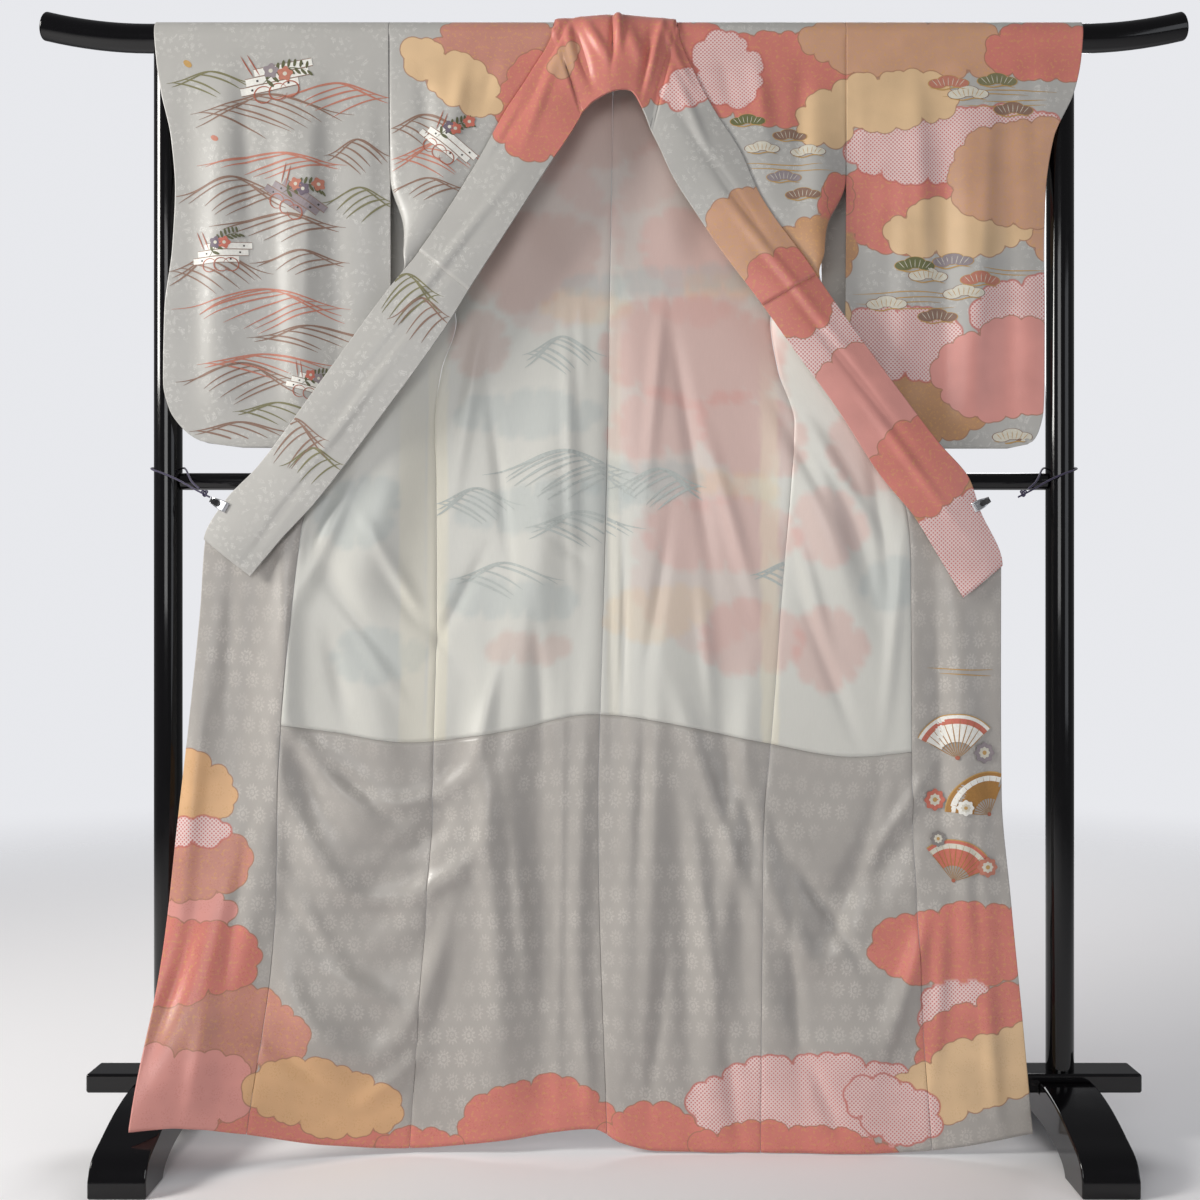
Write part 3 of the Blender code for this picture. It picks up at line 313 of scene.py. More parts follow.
# Largest folds: a ridge towards the camera has a negative depth. lean is degrees from upright,
# positive where the fold's foot goes to the right.
FOLDS = table(FOLD, """
    -330 872 40 130 -18 -13, -375 762 22 80 28 9, -330 612 30 110 12 -6, -360 452 60 50 60 -10,
    -340 352 60 40 60 8, -400 172 70 50 55 -8, -110 802 35 260 -7 -10, -200 402 28 130 -20 -9,
    -70 252 20 160 3 6, -170 152 40 160 0 -8, 0 922 16 400 0 6, 90 492 45 400 6 -9, 170 432 22 200 4 6,
    300 872 36 140 22 -13, 340 842 20 90 15 10, 240 372 30 140 14 -8, 350 372 30 130 -32 11,
    330 142 50 140 -8 -8, -500 592 30 300 -4 -4, -560 222 30 160 -12 -8, 480 472 28 350 2 -5
""")

# Soft upright waves of the sleeves and shoulders
WAVE_LENGTH = 0.105
WAVE_DEPTH = 0.0035
WAVE_TOP, WAVE_FULL = 1.542, 1.372

# Sleeve: outer line, front and back layers
SLEEVE_FRONT_OUTLINE = table("z left right", """
    1592 647 660, 1566 646 659, 1525 642 655, 1481 635 645, 1414 620 616, 1342 614 606, 1261 618 604,
    1172 629 606, 1072 631 606, 1036 623 605, 1008 604 599, 990 577 588, 982 520 555
""")
SLEEVE_BACK_OUTLINE = table("z left right", """
    1592 647 660, 1566 645 655, 1512 620 625, 1477 607 607, 1392 606 605, 1342 613 605
""") + SLEEVE_FRONT_OUTLINE[6:]
SLEEVE_DEPTH = sides("z front_in back_in front_out back_out", """
    1566 -20.9 20.9 -21.5 21.5, 1472 -24 19 -26 21.5, 1357 -27 13 -29 -22.5, 1317 -26.2 10.5 -29.2 -27.1,
    1172 -20 2 -29.2 -27.1, 1032 -15.5 -8 -27.2 -25.1, 982 -14 -12 -25 -23
""", """
    1566 -20.9 20.9 -21.5 21.5, 1472 -24 19 -26 21.5, 1357 -27 13 -23 -15, 1317 -26.2 10.5 -22 -19.8,
    1172 -20 2 -18 -15.8, 1032 -15.5 -8 -16 -13.9, 982 -14 -12 -15 -13
""")
SLEEVE_FOOT = 0.982
SLEEVE_BELLY = 0.007

# Free edge of the collar, for the section that leaves the collar seam at seam_z
COLLAR_EDGE = sides("seam_z x y z", """
    1592 43 -34 1450, 1566 47 -34.5 1442, 1504 58 -37 1422, 1448 91 -42 1371, 1383 128 -48 1311,
    1247 203 -54 1192, 1199 227 -56 1152, 1074 327 -59 1012, 951 412 -59 901, 905 456 -58 854,
    851 502 -56 800
""", """
    1592 50 -34 1427, 1566 54 -34.5 1418, 1503 64 -37 1397, 1457 81 -41 1358, 1392 118 -46 1298,
    1332 148 -50 1252, 1230 198 -55 1184, 1150 250 -58 1110, 1069 308 -59 1030, 984 366 -59 940,
    934 415 -59 880, 893 441 -58 838, 815 482 -56 770
""")
COLLAR_END = {LEFT: 0.851, RIGHT: 0.815}

# Collar round the back of the neck: height over the bar's axis at the seam, and the free edge
NECK = table("seam_x seam_y seam_z free_x free_y free_z", """
    -66 4 1589 -37 -35 1455, -48 6.5 1590 -31 -36 1461, -25 6.5 1591 -19 -38 1468, 0 6.5 1592 -6 -40 1474,
    25 6.5 1591 10 -39 1478, 48 6.5 1590 26 -37 1475, 70 4 1589 40 -35 1452
""")
NECK_HALF_WIDTH = 0.085
NECK_CORNER = 0.012
NECK_DROP = 0.009          # how far behind the top of the bar the back neck seam lies
OVER_COLLAR_END = {LEFT: 1.250, RIGHT: 1.217}
COLLAR_BOW = 0.004
NECK_RISE = 0.006          # how far the collar stands off the bar

OVERLAP_TOP = 1.187
OVERLAP_LINING_TOP = 1.152
LINING_SEAM_Z = 0.582      # the seam between the two linings, before it follows its own line
SIDE_SEAM_TOP = 1.217
ARMHOLE_END = 1.357        # lower end of the seam between sleeve and body
FOLD_GAP = 0.0004          # half the parting at the shoulder fold
OVERLAP_CORNER_GAP = 0.0006
STRIP_STEP = 0.01          # part of a strip over which its width is measured
COLLAR_SEAM_SIDE = 0.0004  # collar beside the panel's edge, above the waist
COLLAR_SEAM_LIFT = 0.0042  # collar in front of the overlap, below it
COLLAR_CLEARANCE = 0.0045
COLLAR_REST_TOP = 1.167    # below this the collar lies on the front
COLLAR_START_LIFT = 0.0018 # collar over the panel's level where it crosses the bar
COLLAR_START_RUN = 0.026   # way in which it comes up to its full height over the bar
POST_SADDLE = 0.0190       # half the width of the bar's bed in a post

# Heights between which a shape comes in, from none to full
SIDE_CORNER_LOW = (1.032, 1.102)
SIDE_CORNER_HIGH = (1.472, 1.412)
OVERLAP_CORNER = (1.122, 1.192)
COLLAR_LAYER = (1.322, 1.222)
FOLD_FADE = (1.232, 1.092)
UPPER_WAVE = (1.222, 1.312)
SLEEVE_BELLY_LOW = (0.982, 1.272)
SLEEVE_BELLY_HIGH = (1.566, 1.422)
SLEEVE_WAVE = (0.982, 1.072)
LINING_SHIFT_REACH = 0.25
BACK_NECK_DROP = (0.05, 0.0)   # the same, by distance from the top of the bar
BACK_CALM = (0.03, 0.12)       # the shoulder folds of the back begin here

# Clips and ties. A tie's route: distance from the middle, depth, height
CLIP_HEIGHT = 0.898
CLIP_WIDTH = 0.014
CLIP_LENGTH = 0.027
CLIP_BITE = 0.009
CLIP_NECK = 0.004
CLIP_FLARE = 0.0012
CLIP_METAL = 0.0012
CLIP_LEAN = 28
CLIP_PLAY = 0.0022
TIE_RADIUS = 0.00125
TIE_ROUTE = np.array((
    (560, -48, 910), (580, -40, 920), (610, -27.5, 936), (633, -22.5, 946), (650, -15, 952),
    (656, 0, 956), (650, 16, 958), (633, 22.5, 959), (616, 15.5, 958), (609, 0, 955),
    (602, -15, 950), (590, -33, 934), (576, -42, 922),
)) / 1000
print(len(SIDE), "rows for the sides,", len(FRONT[LEFT]), "for a front,", len(NECK), "for the neck")

# %% [markdown]
# A pattern cutter draws a smooth line through a few measured points. The same is done here: a
# cubic curve between the rows of a table. Its slope at a row is the harmonic mean of the slopes
# on both sides, which keeps the curve from swinging past its points.
# %% Smooth lines through the tables


def profile(rows, column, at):
    """Value of a column at any height: a cubic between two rows with harmonic-mean slopes."""
    keys = np.array([row[0] for row in rows], dtype=float)
    values = np.array([getattr(row, column) for row in rows], dtype=float)
    if keys[0] > keys[-1]:
        keys, values = keys[::-1], values[::-1]
    at = np.clip(at, keys[0], keys[-1])
    steps = np.diff(keys)
    slopes = np.diff(values) / steps
    product = slopes[:-1] * slopes[1:]
    total = np.where(product > 0, slopes[:-1] + slopes[1:], 1.0)
    inner = np.where(product > 0, 2 * product / total, 0.0)
    tangents = np.concatenate((slopes[:1], inner, slopes[-1:]))
    i = np.clip(np.searchsorted(keys, at, side="right") - 1, 0, len(steps) - 1)
    t = (at - keys[i]) / steps[i]
    return (values[i] * (1 + 2 * t) * (1 - t) ** 2 + values[i + 1] * t * t * (3 - 2 * t)
            + steps[i] * (tangents[i] * t * (1 - t) ** 2 - tangents[i + 1] * t * t * (1 - t)))


def ease(low, high, value):
    """0 at low, 1 at high and a smooth S between them; low may be the greater."""
    t = np.clip((value - low) / (high - low), 0.0, 1.0)
    return t * t * (3 - 2 * t)


def bezier(start, middle, end, t):
    """Parabola through three points, the middle one half-way."""
    control = 2 * middle - (start + end) / 2
    return start * (1 - t) ** 2 + control * 2 * t * (1 - t) + end * t * t


def bar_height(distance):
    """Height of the cloth at a distance along it from the top of the bar: a quarter circle, then
    straight down."""
    return np.where(distance < QUARTER_TURN,
                    BAR_Z + CLOTH_RADIUS * np.cos(distance / CLOTH_RADIUS),
                    BAR_Z - (distance - QUARTER_TURN))


print("left collar edge at 1.0 m high: x = %.3f" % profile(EDGE[LEFT], "x", 1.0))

# %% [markdown]
# The large folds are in the solids too. Silk lined with silk also has finer creases, which run
# between the large ones and differ in length, depth and direction. Each is one row here and
# becomes a trough or a ridge with a bell-shaped section. Ridges towards the camera are negative.
# %% Folds and creases
CREASES = table(FOLD, """
    # left front, from the clip down to the skirt lining
    -430 905 10 70 -32 5.8, -395 860 12 85 -24 -6.5, -300 800 9 80 30 -5.8, -270 745 11 60 42 5.8,
    -345 705 10 70 38 -4.3, -385 665 13 60 12 4.3, -455 720 10 150 3 -3.2, -350 505 11 60 52 6.4,
    -395 545 10 45 64 -5.6, -310 430 16 70 -48 -3, -300 355 18 80 -38 2, -420 330 11 80 34 -5.6,
    -350 235 12 60 62 -6.8, -440 130 12 50 58 6.4, -300 120 12 60 -50 -6.4,
    # left overlap
    -535 690 12 130 -3 4.1, -580 480 12 160 -5 -5.6, -520 330 13 120 -8 6.4, -600 200 12 110 -12 6.4,
    -555 110 13 90 -6 -6.8,
    # back, left of the middle seam
    -210 500 18 150 -16 -5.6, -250 490 16 120 -16 3.2, -75 330 5 200 -1 -2.8, 150 455 14 140 20 -9,
    190 460 12 110 18 5, -170 400 18 220 4 -10.4, -105 330 20 240 1 10.4, -45 420 14 180 -2 -7.8,
    50 360 17 220 -1 -9.1, 98 300 18 200 3 10.4, 165 420 16 180 -6 -9.1, -200 1070 10 130 -9 -4.6,
    -160 940 9 120 7 3.8, -62 980 8 160 2 -3.8, -50 1220 7 120 3 -3.2, -75 1245 7 100 -4 2.9,
    -72 865 6 28 66 -3.5, -60 835 6 24 58 2.9, -215 770 9 60 -28 3.8, -105 640 10 90 4 4.1,
    -175 620 9 70 -12 -3.2, -130 350 11 130 6 -6, -235 250 14 100 -10 3.4, -40 140 11 100 4 -5.6,
    # back, beside and right of the middle seam
    4 790 5 190 1 -3.5, 14 700 5 160 -1 2.9, 60 1090 9 150 -5 -3.8, 110 980 10 150 9 4.3,
    165 880 10 100 16 -4.1, 60 760 9 100 -8 3.8, 130 690 9 90 5 -3.5, 40 480 10 110 -3 5.3,
    130 300 10 120 7 -6, 60 190 11 110 -6 6.4, 160 120 12 80 9 5.6,
    # right front and its overlap
    268 960 10 70 26 4.9, 322 930 10 85 30 -5.8, 372 870 10 80 8 4.9, 275 790 10 80 16 -4.3,
    390 740 9 110 -6 -3.8, 300 690 10 70 24 4.1, 395 480 10 80 -30 -6.8, 300 330 10 80 34 6,
    250 240 10 110 4 5.6, 400 230 11 90 -20 -6.4, 290 100 11 60 24 5.6, 455 650 10 120 2 3.8,
    500 390 11 150 3 5.6, 450 240 11 110 -4 -5.6, 520 150 11 90 5 -5.6, -458 640 20 260 -3 -8,
    -510 620 26 260 -5 8, -470 300 26 140 -8 7, 455 560 20 240 3 7, 495 480 20 240 4 -7,
    -30 300 24 260 2 7, 20 340 18 240 -2 -6, 200 300 26 200 6 -8, -285 300 24 200 -10 -2.2
""")
# Upright folds of the shoulders and sleeves, each with a top that fades out below the bar
DROPS = table(FOLD, """
    -600 1290 20 220 2 6.1, -555 1230 18 240 -2 -4.9, -515 1380 13 120 3 4.1, -475 1200 20 200 1 5.5,
    -425 1330 14 160 -3 -4.3, -385 1180 15 180 2 4.3, -340 1400 10 100 0 -3.2, -262 1430 13 90 5 4.9,
    -215 1480 12 70 -8 -4.3, -170 1510 10 60 -14 3.5, 155 1500 10 60 12 3.8, 205 1470 12 80 6 -4.3,
    262 1430 13 100 -3 4.9, 345 1420 11 110 0 -3.5, 385 1230 18 200 -2 4.9, 430 1350 14 150 3 -4.6,
    470 1180 19 210 1 5.2, 520 1300 13 170 -3 -4.3, 560 1160 17 180 2 4.9, 590 1420 12 100 4 3.5
""")
DROP_FADE = (1.560, 1.470)
# Swags of the spread fronts: arcs that hang between the side seam and the overlap. left and
# right are how far the arc has risen at its reach on either side of its lowest point.
SWAGS = table("x z reach left right width depth", """
    -330 490 115 85 30 14 -6.5, -328 425 110 100 50 20 5, -326 352 125 135 55 16 -8,
    -330 260 120 100 100 26 6, -338 145 110 85 165 19 -8, 300 360 80 80 150 26 6,
    290 270 85 130 190 18 -8, 320 150 110 60 120 24 -5
""")


def leaning(row, x, z):
    """Places across and along the leaning axis of a row of a table."""
    lean = math.radians(row.lean)
    return ((x - row.x) * math.cos(lean) + (z - row.z) * math.sin(lean),
            -(x - row.x) * math.sin(lean) + (z - row.z) * math.cos(lean))


def bells(folds, x, z):
    """Sum of the rows: depth times a bell curve across the fold and a wider one along it."""
    total = np.zeros(np.broadcast(x, z).shape)
    for fold in folds:
        across, along = leaning(fold, x, z)
        total = total + fold.depth * np.exp(-(across / fold.width) ** 2 - (along / fold.length) ** 2)
    return total


def arcs(swags, x, z):
    """Sum of the swags: a bell curve across a parabola, with another rise on each side."""
    total = np.zeros(np.broadcast(x, z).shape)
    for swag in swags:
        s = (x - swag.x) / swag.reach
        rise = np.where(s < 0, swag.left, swag.right)
        away = (z - swag.z - rise * s * s) / np.hypot(1, 2 * rise * s / swag.reach)
        total = total + swag.depth * np.exp(-(away / swag.width) ** 2) * ease(1.3, 0.8, np.abs(s))
    return total


def relief(x, z):
    """Depth of all folds below the waist, fading out upwards."""
    return (bells(FOLDS + CREASES, x, z) + arcs(SWAGS, x, z)) * ease(*FOLD_FADE, z)


def drape(x, z):
    """Depth of the shoulders' and sleeves' folds: an even wave and the single drops."""
    even = WAVE_DEPTH * ease(WAVE_TOP, WAVE_FULL, z) * np.sin(2 * np.pi * x / WAVE_LENGTH)
    return even + bells(DROPS, x, z) * ease(*DROP_FADE, z)


def hem_shift(x, z):
    """Moves the rows above the hem up or down, so that the last one lies on it."""
    return (profile(HEM, "hem", x) - NOMINAL_HEM) * ease(HEM_BLEND_TOP, NOMINAL_HEM, z)


def lining_seam_shift(x, z):
    """Moves the rows near the seam between the linings, so that one of them lies on it."""
    reach = np.where(z > LINING_SEAM_Z, LINING_SHIFT_REACH, -LINING_SHIFT_REACH)
    near = ease(LINING_SEAM_Z + reach, LINING_SEAM_Z, z)
    return (profile(HEM, "lining_seam", x) - LINING_SEAM_Z) * near


print(len(FOLDS), "large folds,", len(CREASES), "creases,", len(SWAGS), "swags,", len(DROPS),
      "drops")

# %% [markdown]
# Each panel is one straight strip of cloth. On the rack it becomes a surface with u across the
# strip and the distance from the top of the bar along it. A front panel with its overlap turns
# back on itself above the waist: its outer face shows at the shoulder and its lining below.
# %% Panels as surfaces


def front_surface(side, u, distance):
    """Front and overlap: at each height a parabola from the side line through a middle point to
    the outer edge, pushed in depth by the folds; over the bar a quarter circle."""
    z = bar_height(distance)
    below = z < SIDE_SEAM_TOP
    start_x = np.where(below, profile(SIDE, side, z), profile(ARMHOLE, side, z))
    start_y = np.where(below, profile(SIDE, "y", z), profile(ARMHOLE, "y", z))
    middle_x, middle_y = [profile(FRONT[side], name, z) for name in ("middle_x", "middle_y")]
    x = SIGN[side] * bezier(start_x, middle_x, profile(EDGE[side], "x", z), u)
    y = bezier(start_y, middle_y, profile(EDGE[side], "y", z), u) + relief(x, z)
    y = y + drape(x, z) * np.sin(np.pi * np.clip(u, 0, 1)) * ease(*UPPER_WAVE, z)
    y = np.where(distance < QUARTER_TURN, -CLOTH_RADIUS * np.sin(distance / CLOTH_RADIUS), y)
    z = z + np.where(distance < QUARTER_TURN, 0.0, hem_shift(x, z) + lining_seam_shift(x, z))
    return np.stack(np.broadcast_arrays(x, y, z), -1)


def side_gap(z, gap):
    """Gap at the armhole and side seam, wider where two panels meet at an angle."""
    return gap + CORNER_GAP * ease(*SIDE_CORNER_LOW, z) * ease(*SIDE_CORNER_HIGH, z)


def front_strip(side, u, distance, first, last, gap):
    """The part of the front sheet between two of its lines, less a gap inside each of them."""
    z = bar_height(distance)

    def inside(line, wide):
        low, high = np.clip(line - STRIP_STEP, 0, 1), np.clip(line + STRIP_STEP, 0, 1)
        run = front_surface(side, high, distance) - front_surface(side, low, distance)
        return wide * (high - low) / np.linalg.norm(run, axis=-1)

    corner = gap + OVERLAP_CORNER_GAP * ease(*OVERLAP_CORNER, z)
    wide = side_gap(z, gap) if np.all(first == 0) else corner
    begin, finish = first + inside(first, wide), last - inside(last, corner)
    return front_surface(side, begin + (finish - begin) * u, distance)


def back_surface(side, u, distance, gap=SEAM / 2):
    """Back panel from the middle seam to the side line; the neck edge drops behind the bar."""
    z = bar_height(distance)
    first = profile(MIDDLE, "x", z) + SIGN[side] * gap
    last = SIGN[side] * (profile(SIDE, side, z) - side_gap(z, gap))
    x = first + (last - first) * u
    drop = NECK_DROP * ease(NECK_HALF_WIDTH + NECK_CORNER, NECK_HALF_WIDTH, np.abs(x))
    distance = distance + drop * ease(*BACK_NECK_DROP, distance)
    over_bar = distance < QUARTER_TURN
    y = profile(SIDE, "y", z) + relief(x, z)
    y = y + drape(x, z) * np.sin(np.pi * u) * ease(*UPPER_WAVE, z) * ease(*BACK_CALM, distance)
    y = np.where(over_bar, CLOTH_RADIUS * np.sin(distance / CLOTH_RADIUS), y)
    z = np.where(over_bar, bar_height(distance), z + hem_shift(x, z) + lining_seam_shift(x, z))
    return np.stack(np.broadcast_arrays(x, y, z), -1)


def sleeve_surface(side, layer, u, distance):
    """Sleeve from the body to the cuff: straight over the bar, a belly and folds below it."""
    z = bar_height(distance)
    outline, armhole, turn = ((SLEEVE_FRONT_OUTLINE, ARMHOLE, -1.0) if layer == "front"
                              else (SLEEVE_BACK_OUTLINE, SIDE, 1.0))
    inner = profile(armhole, side, np.maximum(z, ARMHOLE_END)) + SEAM / 2
    lap = ease(ARMHOLE_END, SLEEVE_LAP_FULL, z) if layer == "back" else 0.0
    inner = inner - SLEEVE_LAP * lap
    x = SIGN[side] * (inner + (profile(outline, side, z) - inner) * u)
    near = np.where(z > ARMHOLE_END, profile(armhole, "y", z),
                    profile(SLEEVE_DEPTH[side], layer + "_in", z))
    far = profile(SLEEVE_DEPTH[side], layer + "_out", z)
    belly = np.sin(np.pi * u) * ease(*SLEEVE_BELLY_LOW, z) * ease(*SLEEVE_BELLY_HIGH, z)
    y = near + (far - near) * u ** 1.5 + turn * SLEEVE_BELLY * belly
    y = y + drape(x, z) * np.sin(np.pi * u) * ease(*SLEEVE_WAVE, z)
    y = y + SLEEVE_LAP_DEPTH * lap * (1 - u) ** 4
    y = np.where(distance < QUARTER_TURN, turn * CLOTH_RADIUS * np.sin(distance / CLOTH_RADIUS), y)
    return np.stack(np.broadcast_arrays(x, y, z), -1)


def directions(points):
    """Unit normal at each point: the cross product of the ways across and along the cloth."""
    across, along = np.gradient(points, axis=1), np.gradient(points, axis=0)
    normal = np.cross(across, along)
    return normal / np.maximum(np.linalg.norm(normal, axis=-1, keepdims=True), 1e-12)


# %% [markdown]
# The collar is a ribbon that runs from one end up the front, round the neck and down again. It is
# worn unfolded here, as it hangs when a kimono is aired. Each section leaves its seam, follows the
# bar in an arc where the straight way would cut it, and lies on the front below the waist.
# %% Collar as a surface
NECK_RISE_REACH = 0.055
NECK_RISE_LEAST = 0.15     # share of the rise that is left away from the middle of the neck


def collar_sections(seam, free, w):
    """Straight from the seam to the free edge with a slight bow, or round the bar by an arc, which
    stands off most at the middle of the neck, and then on straight."""
    rise = NECK_RISE_LEAST + (1 - NECK_RISE_LEAST) * np.exp(-(seam[:, :1] / NECK_RISE_REACH) ** 2)
    radius = COLLAR_RADIUS + NECK_RISE * rise
    (start_turn, start_radius), (end_turn, end_radius) = [
        (np.arctan2(-edge[:, 1:2], edge[:, 2:] - BAR_Z), np.hypot(edge[:, 1:2], edge[:, 2:] - BAR_Z))
        for edge in (seam, free)]
    start_radius = np.maximum(start_radius, CLOTH_RADIUS + COLLAR_START_LIFT)
    leave = end_turn - np.arccos(radius / end_radius)
    arc = np.maximum(leave - start_turn, 0.0) * radius
    run = np.sqrt(end_radius ** 2 - radius ** 2)
    along = w[None, :] * (arc + run)
    points = seam[:, None] + (free - seam)[:, None] * w[None, :, None]
    turn = start_turn + along / radius
    reach = start_radius + (radius - start_radius) * ease(0.0, COLLAR_START_RUN, along)
    t = (along - arc) / run
    leave_y, leave_z = -radius * np.sin(leave), BAR_Z + radius * np.cos(leave)
    round_bar = along < arc
    led_y = np.where(round_bar, -reach * np.sin(turn), leave_y + (free[:, 1:2] - leave_y) * t)
    led_z = np.where(round_bar, BAR_Z + reach * np.cos(turn), leave_z + (free[:, 2:] - leave_z) * t)
    bowed = points[..., 1] - COLLAR_BOW * np.sin(np.pi * w)
    points[..., 1] = np.where(arc > 0, led_y, bowed)
    points[..., 2] = np.where(arc > 0, led_z, points[..., 2])
    return points


def front_depth(side, x, z):
    """Depth of the front sheet behind given points, read between samples across its section."""
    samples = front_surface(side, np.linspace(0, 1, 61)[None, :], QUARTER_TURN + BAR_Z - z[:, None])
    reach = np.abs(samples[..., 0])
    at = np.clip(np.abs(x), reach.min(axis=1), reach.max(axis=1))
    column = np.clip((reach < at[:, None]).sum(axis=1) - 1, 0, reach.shape[1] - 2)
    row = np.arange(len(z))
    low, high = reach[row, column], reach[row, column + 1]
    t = np.clip((at - low) / np.maximum(high - low, 1e-9), 0, 1)
    return samples[row, column, 1] * (1 - t) + samples[row, column + 1, 1] * t


def collar_side(side, distance, w):
    """Collar beside the front panel's edge above the waist and in front of it below."""
    z = bar_height(distance)
    seam = front_surface(side, np.ones(1), distance[:, None])[:, 0]
    layered = ease(*COLLAR_LAYER, z)
    seam[:, 0] -= SIGN[side] * COLLAR_SEAM_SIDE * (1 - layered)
    seam[:, 1] -= (SOLID_COLLAR - SOLID_WALL) / 2 + COLLAR_SEAM_LIFT * layered
    free = np.stack([profile(COLLAR_EDGE[side], name, z) for name in ("x", "y", "z")], -1)
    free[:, 0] *= SIGN[side]
    points = collar_sections(seam, free, w)
    flat = points.reshape(-1, 3)
    resting = (flat[:, 2] < COLLAR_REST_TOP) & np.repeat(layered == 1.0, len(w))
    under = front_depth(side, flat[resting, 0], flat[resting, 2]) - COLLAR_CLEARANCE
    flat[resting, 1] = np.minimum(flat[resting, 1], under)
    return points


def through_points(points, steps):
    """Smooth line through points, with a number of steps from each to the next: each stretch is a
    cubic whose slopes point from the neighbour before to the neighbour after."""
    ends = np.concatenate((points[:1], points, points[-1:]))
    before, here, then, after = ends[:-3], ends[1:-2], ends[2:-1], ends[3:]
    t = np.linspace(0, 1, steps, endpoint=False)[None, :, None]
    before, here, then, after = [p[:, None] for p in (before, here, then, after)]
    line = 0.5 * (2 * here + (then - before) * t + (2 * before - 5 * here + 4 * then - after) * t * t
                  + (3 * here - before - 3 * then + after) * t ** 3)
    return np.concatenate((line.reshape(-1, points.shape[1]), points[-1:]))


def collar_surface(ends, step, w):
    """Sections from the left end round the neck to the right end, a step apart."""
    def rows(side):
        length = float(QUARTER_TURN + BAR_Z - ends[side])
        return np.linspace(FOLD_GAP, length, max(2, round(length / step)))

    left = collar_side(LEFT, rows(LEFT)[::-1], w)
    right = collar_side(RIGHT, rows(RIGHT), w)
    # the neck's rows, with the last of each side, make one smooth line
    neck_seam = np.array([left[-1, 0]] + [row[:3] for row in NECK] + [right[0, 0]])
    neck_free = np.array([left[-1, -1]] + [row[3:] for row in NECK] + [right[0, -1]])
    seam, free = [through_points(line, NECK_STEPS)[1:-1] for line in (neck_seam, neck_free)]
    return np.concatenate((left, collar_sections(seam, free, w), right))


print("collar free edge at the neck:", NECK[3][3:])

# %% [markdown]
# Clouds are the ordinary frame of a printed kimono: scalloped shapes that lie over each other.
# They could be drawn as an image, but then their edges would blur. Here every vertex stores its
# distance from the nearest outline, and the material cuts it at nought, which stays sharp. Clouds
# that overlap are on different layers, 1 below and 4 on top.
# %% Clouds
SHOULDER_CLOUDS = table(CLOUD, """
    2 tan 425 1545 340 106 -3, 1 coral 403 1315 245 131 -4, 1 gold 431 1050 217 141 5,
    1 coral 225 1499 238 148 5, 1 coral 85 1545 140 110 20, 1 gold 281 1256 126 101 0,
    3 coral 604 1540 179 103 0, 2 shibori 492 1404 347 116 4, 2 shibori 403 1129 195 117 -4,
    2 shibori 587 1162 185 134 4, 2 shibori 161 1512 109 123 30, 2 tan 618 1284 95 87 0,
    2 coral 317 1336 53 78 0, 3 cream 391 1468 196 96 2, 3 cream 296 1440 101 90 6,
    3 cream 487 1290 231 95 5, 3 pink 561 1094 238 150 10, 3 cream 317 1171 42 50 0,
    4 tan 575 1366 230 160 8, 1 rose -147 1520 240 160 -16, 2 coral -100 1480 120 160 -45,
    3 cream -224 1500 180 82 -34
""")
COLLAR_CLOUDS = table(CLOUD, """
    1 coral 5 1548 290 200 -8, 3 shibori 98 1478 66 86 -60, 1 tan 205 1264 173 163 -50,
    2 coral 245 1194 141 127 -50, 1 shibori 292 1124 208 172 -48, 2 pink 358 1030 201 166 -50,
    3 coral 419 949 141 158 -50, 1 gold 448 922 131 120 -50, 2 shibori 496 830 187 180 -50,
    1 coral -98 1462 180 190 58, 2 tan -70 1522 70 40 60
""")
HEM_CLOUDS = table(CLOUD, """
    1 coral 494 292 301 120 4, 1 shibori 470 205 108 90 20, 2 coral 524 176 250 110 22,
    3 cream 500 112 290 110 22, 1 shibori 268 74 340 140 3, 4 shibori 385 64 150 96 -20,
    4 coral 250 2 300 90 -4, 2 coral 53 12 173 125 -2, 1 honey -598 502 165 124 -6,
    3 shibori -591 447 139 49 0, 2 rose -587 404 185 112 4, 1 pink -611 333 198 96 6,
    2 coral -598 277 243 121 0, 1 rose -565 185 310 140 -6, 2 pink -620 106 281 141 0,
    1 coral -450 40 300 110 -10, 3 honey -396 84 225 108 -18, 1 coral -107 30 236 161 6,
    2 coral -268 2 166 75 0
""")
BACK_CLOUDS = table(CLOUD, """
    1 rose -30 1440 220 120 4, 2 coral 90 1500 200 140 -6, 3 shibori 190 1420 180 100 4,
    1 rose -120 1250 220 150 18, 1 rose -190 1130 110 100 40, 2 cream -40 1185 150 60 0,
    2 pink 110 1270 170 130 0, 3 cream 150 1215 130 50 4, 1 coral 110 1120 280 170 -6,
    1 coral 195 1000 180 130 -24, 2 pink 60 1015 160 110 10, 3 cream 170 930 140 50 -8,
    1 pink 150 860 240 120 0, 2 cream 60 750 170 90 8, 1 coral 190 715 160 120 0,
    1 rose -120 700 130 60 0, 2 tan -180 1500 160 100 8, 3 cream -240 1450 140 60 -8,
    1 tan 450 1530 260 100 0, 2 coral 590 1480 150 120 4, 3 shibori 440 1400 230 110 -3,
    1 coral 500 1320 220 110 3, 4 cream 560 1280 160 80 3, 1 pink 530 1090 200 150 0,
    3 gold 420 1060 130 80 0
""")
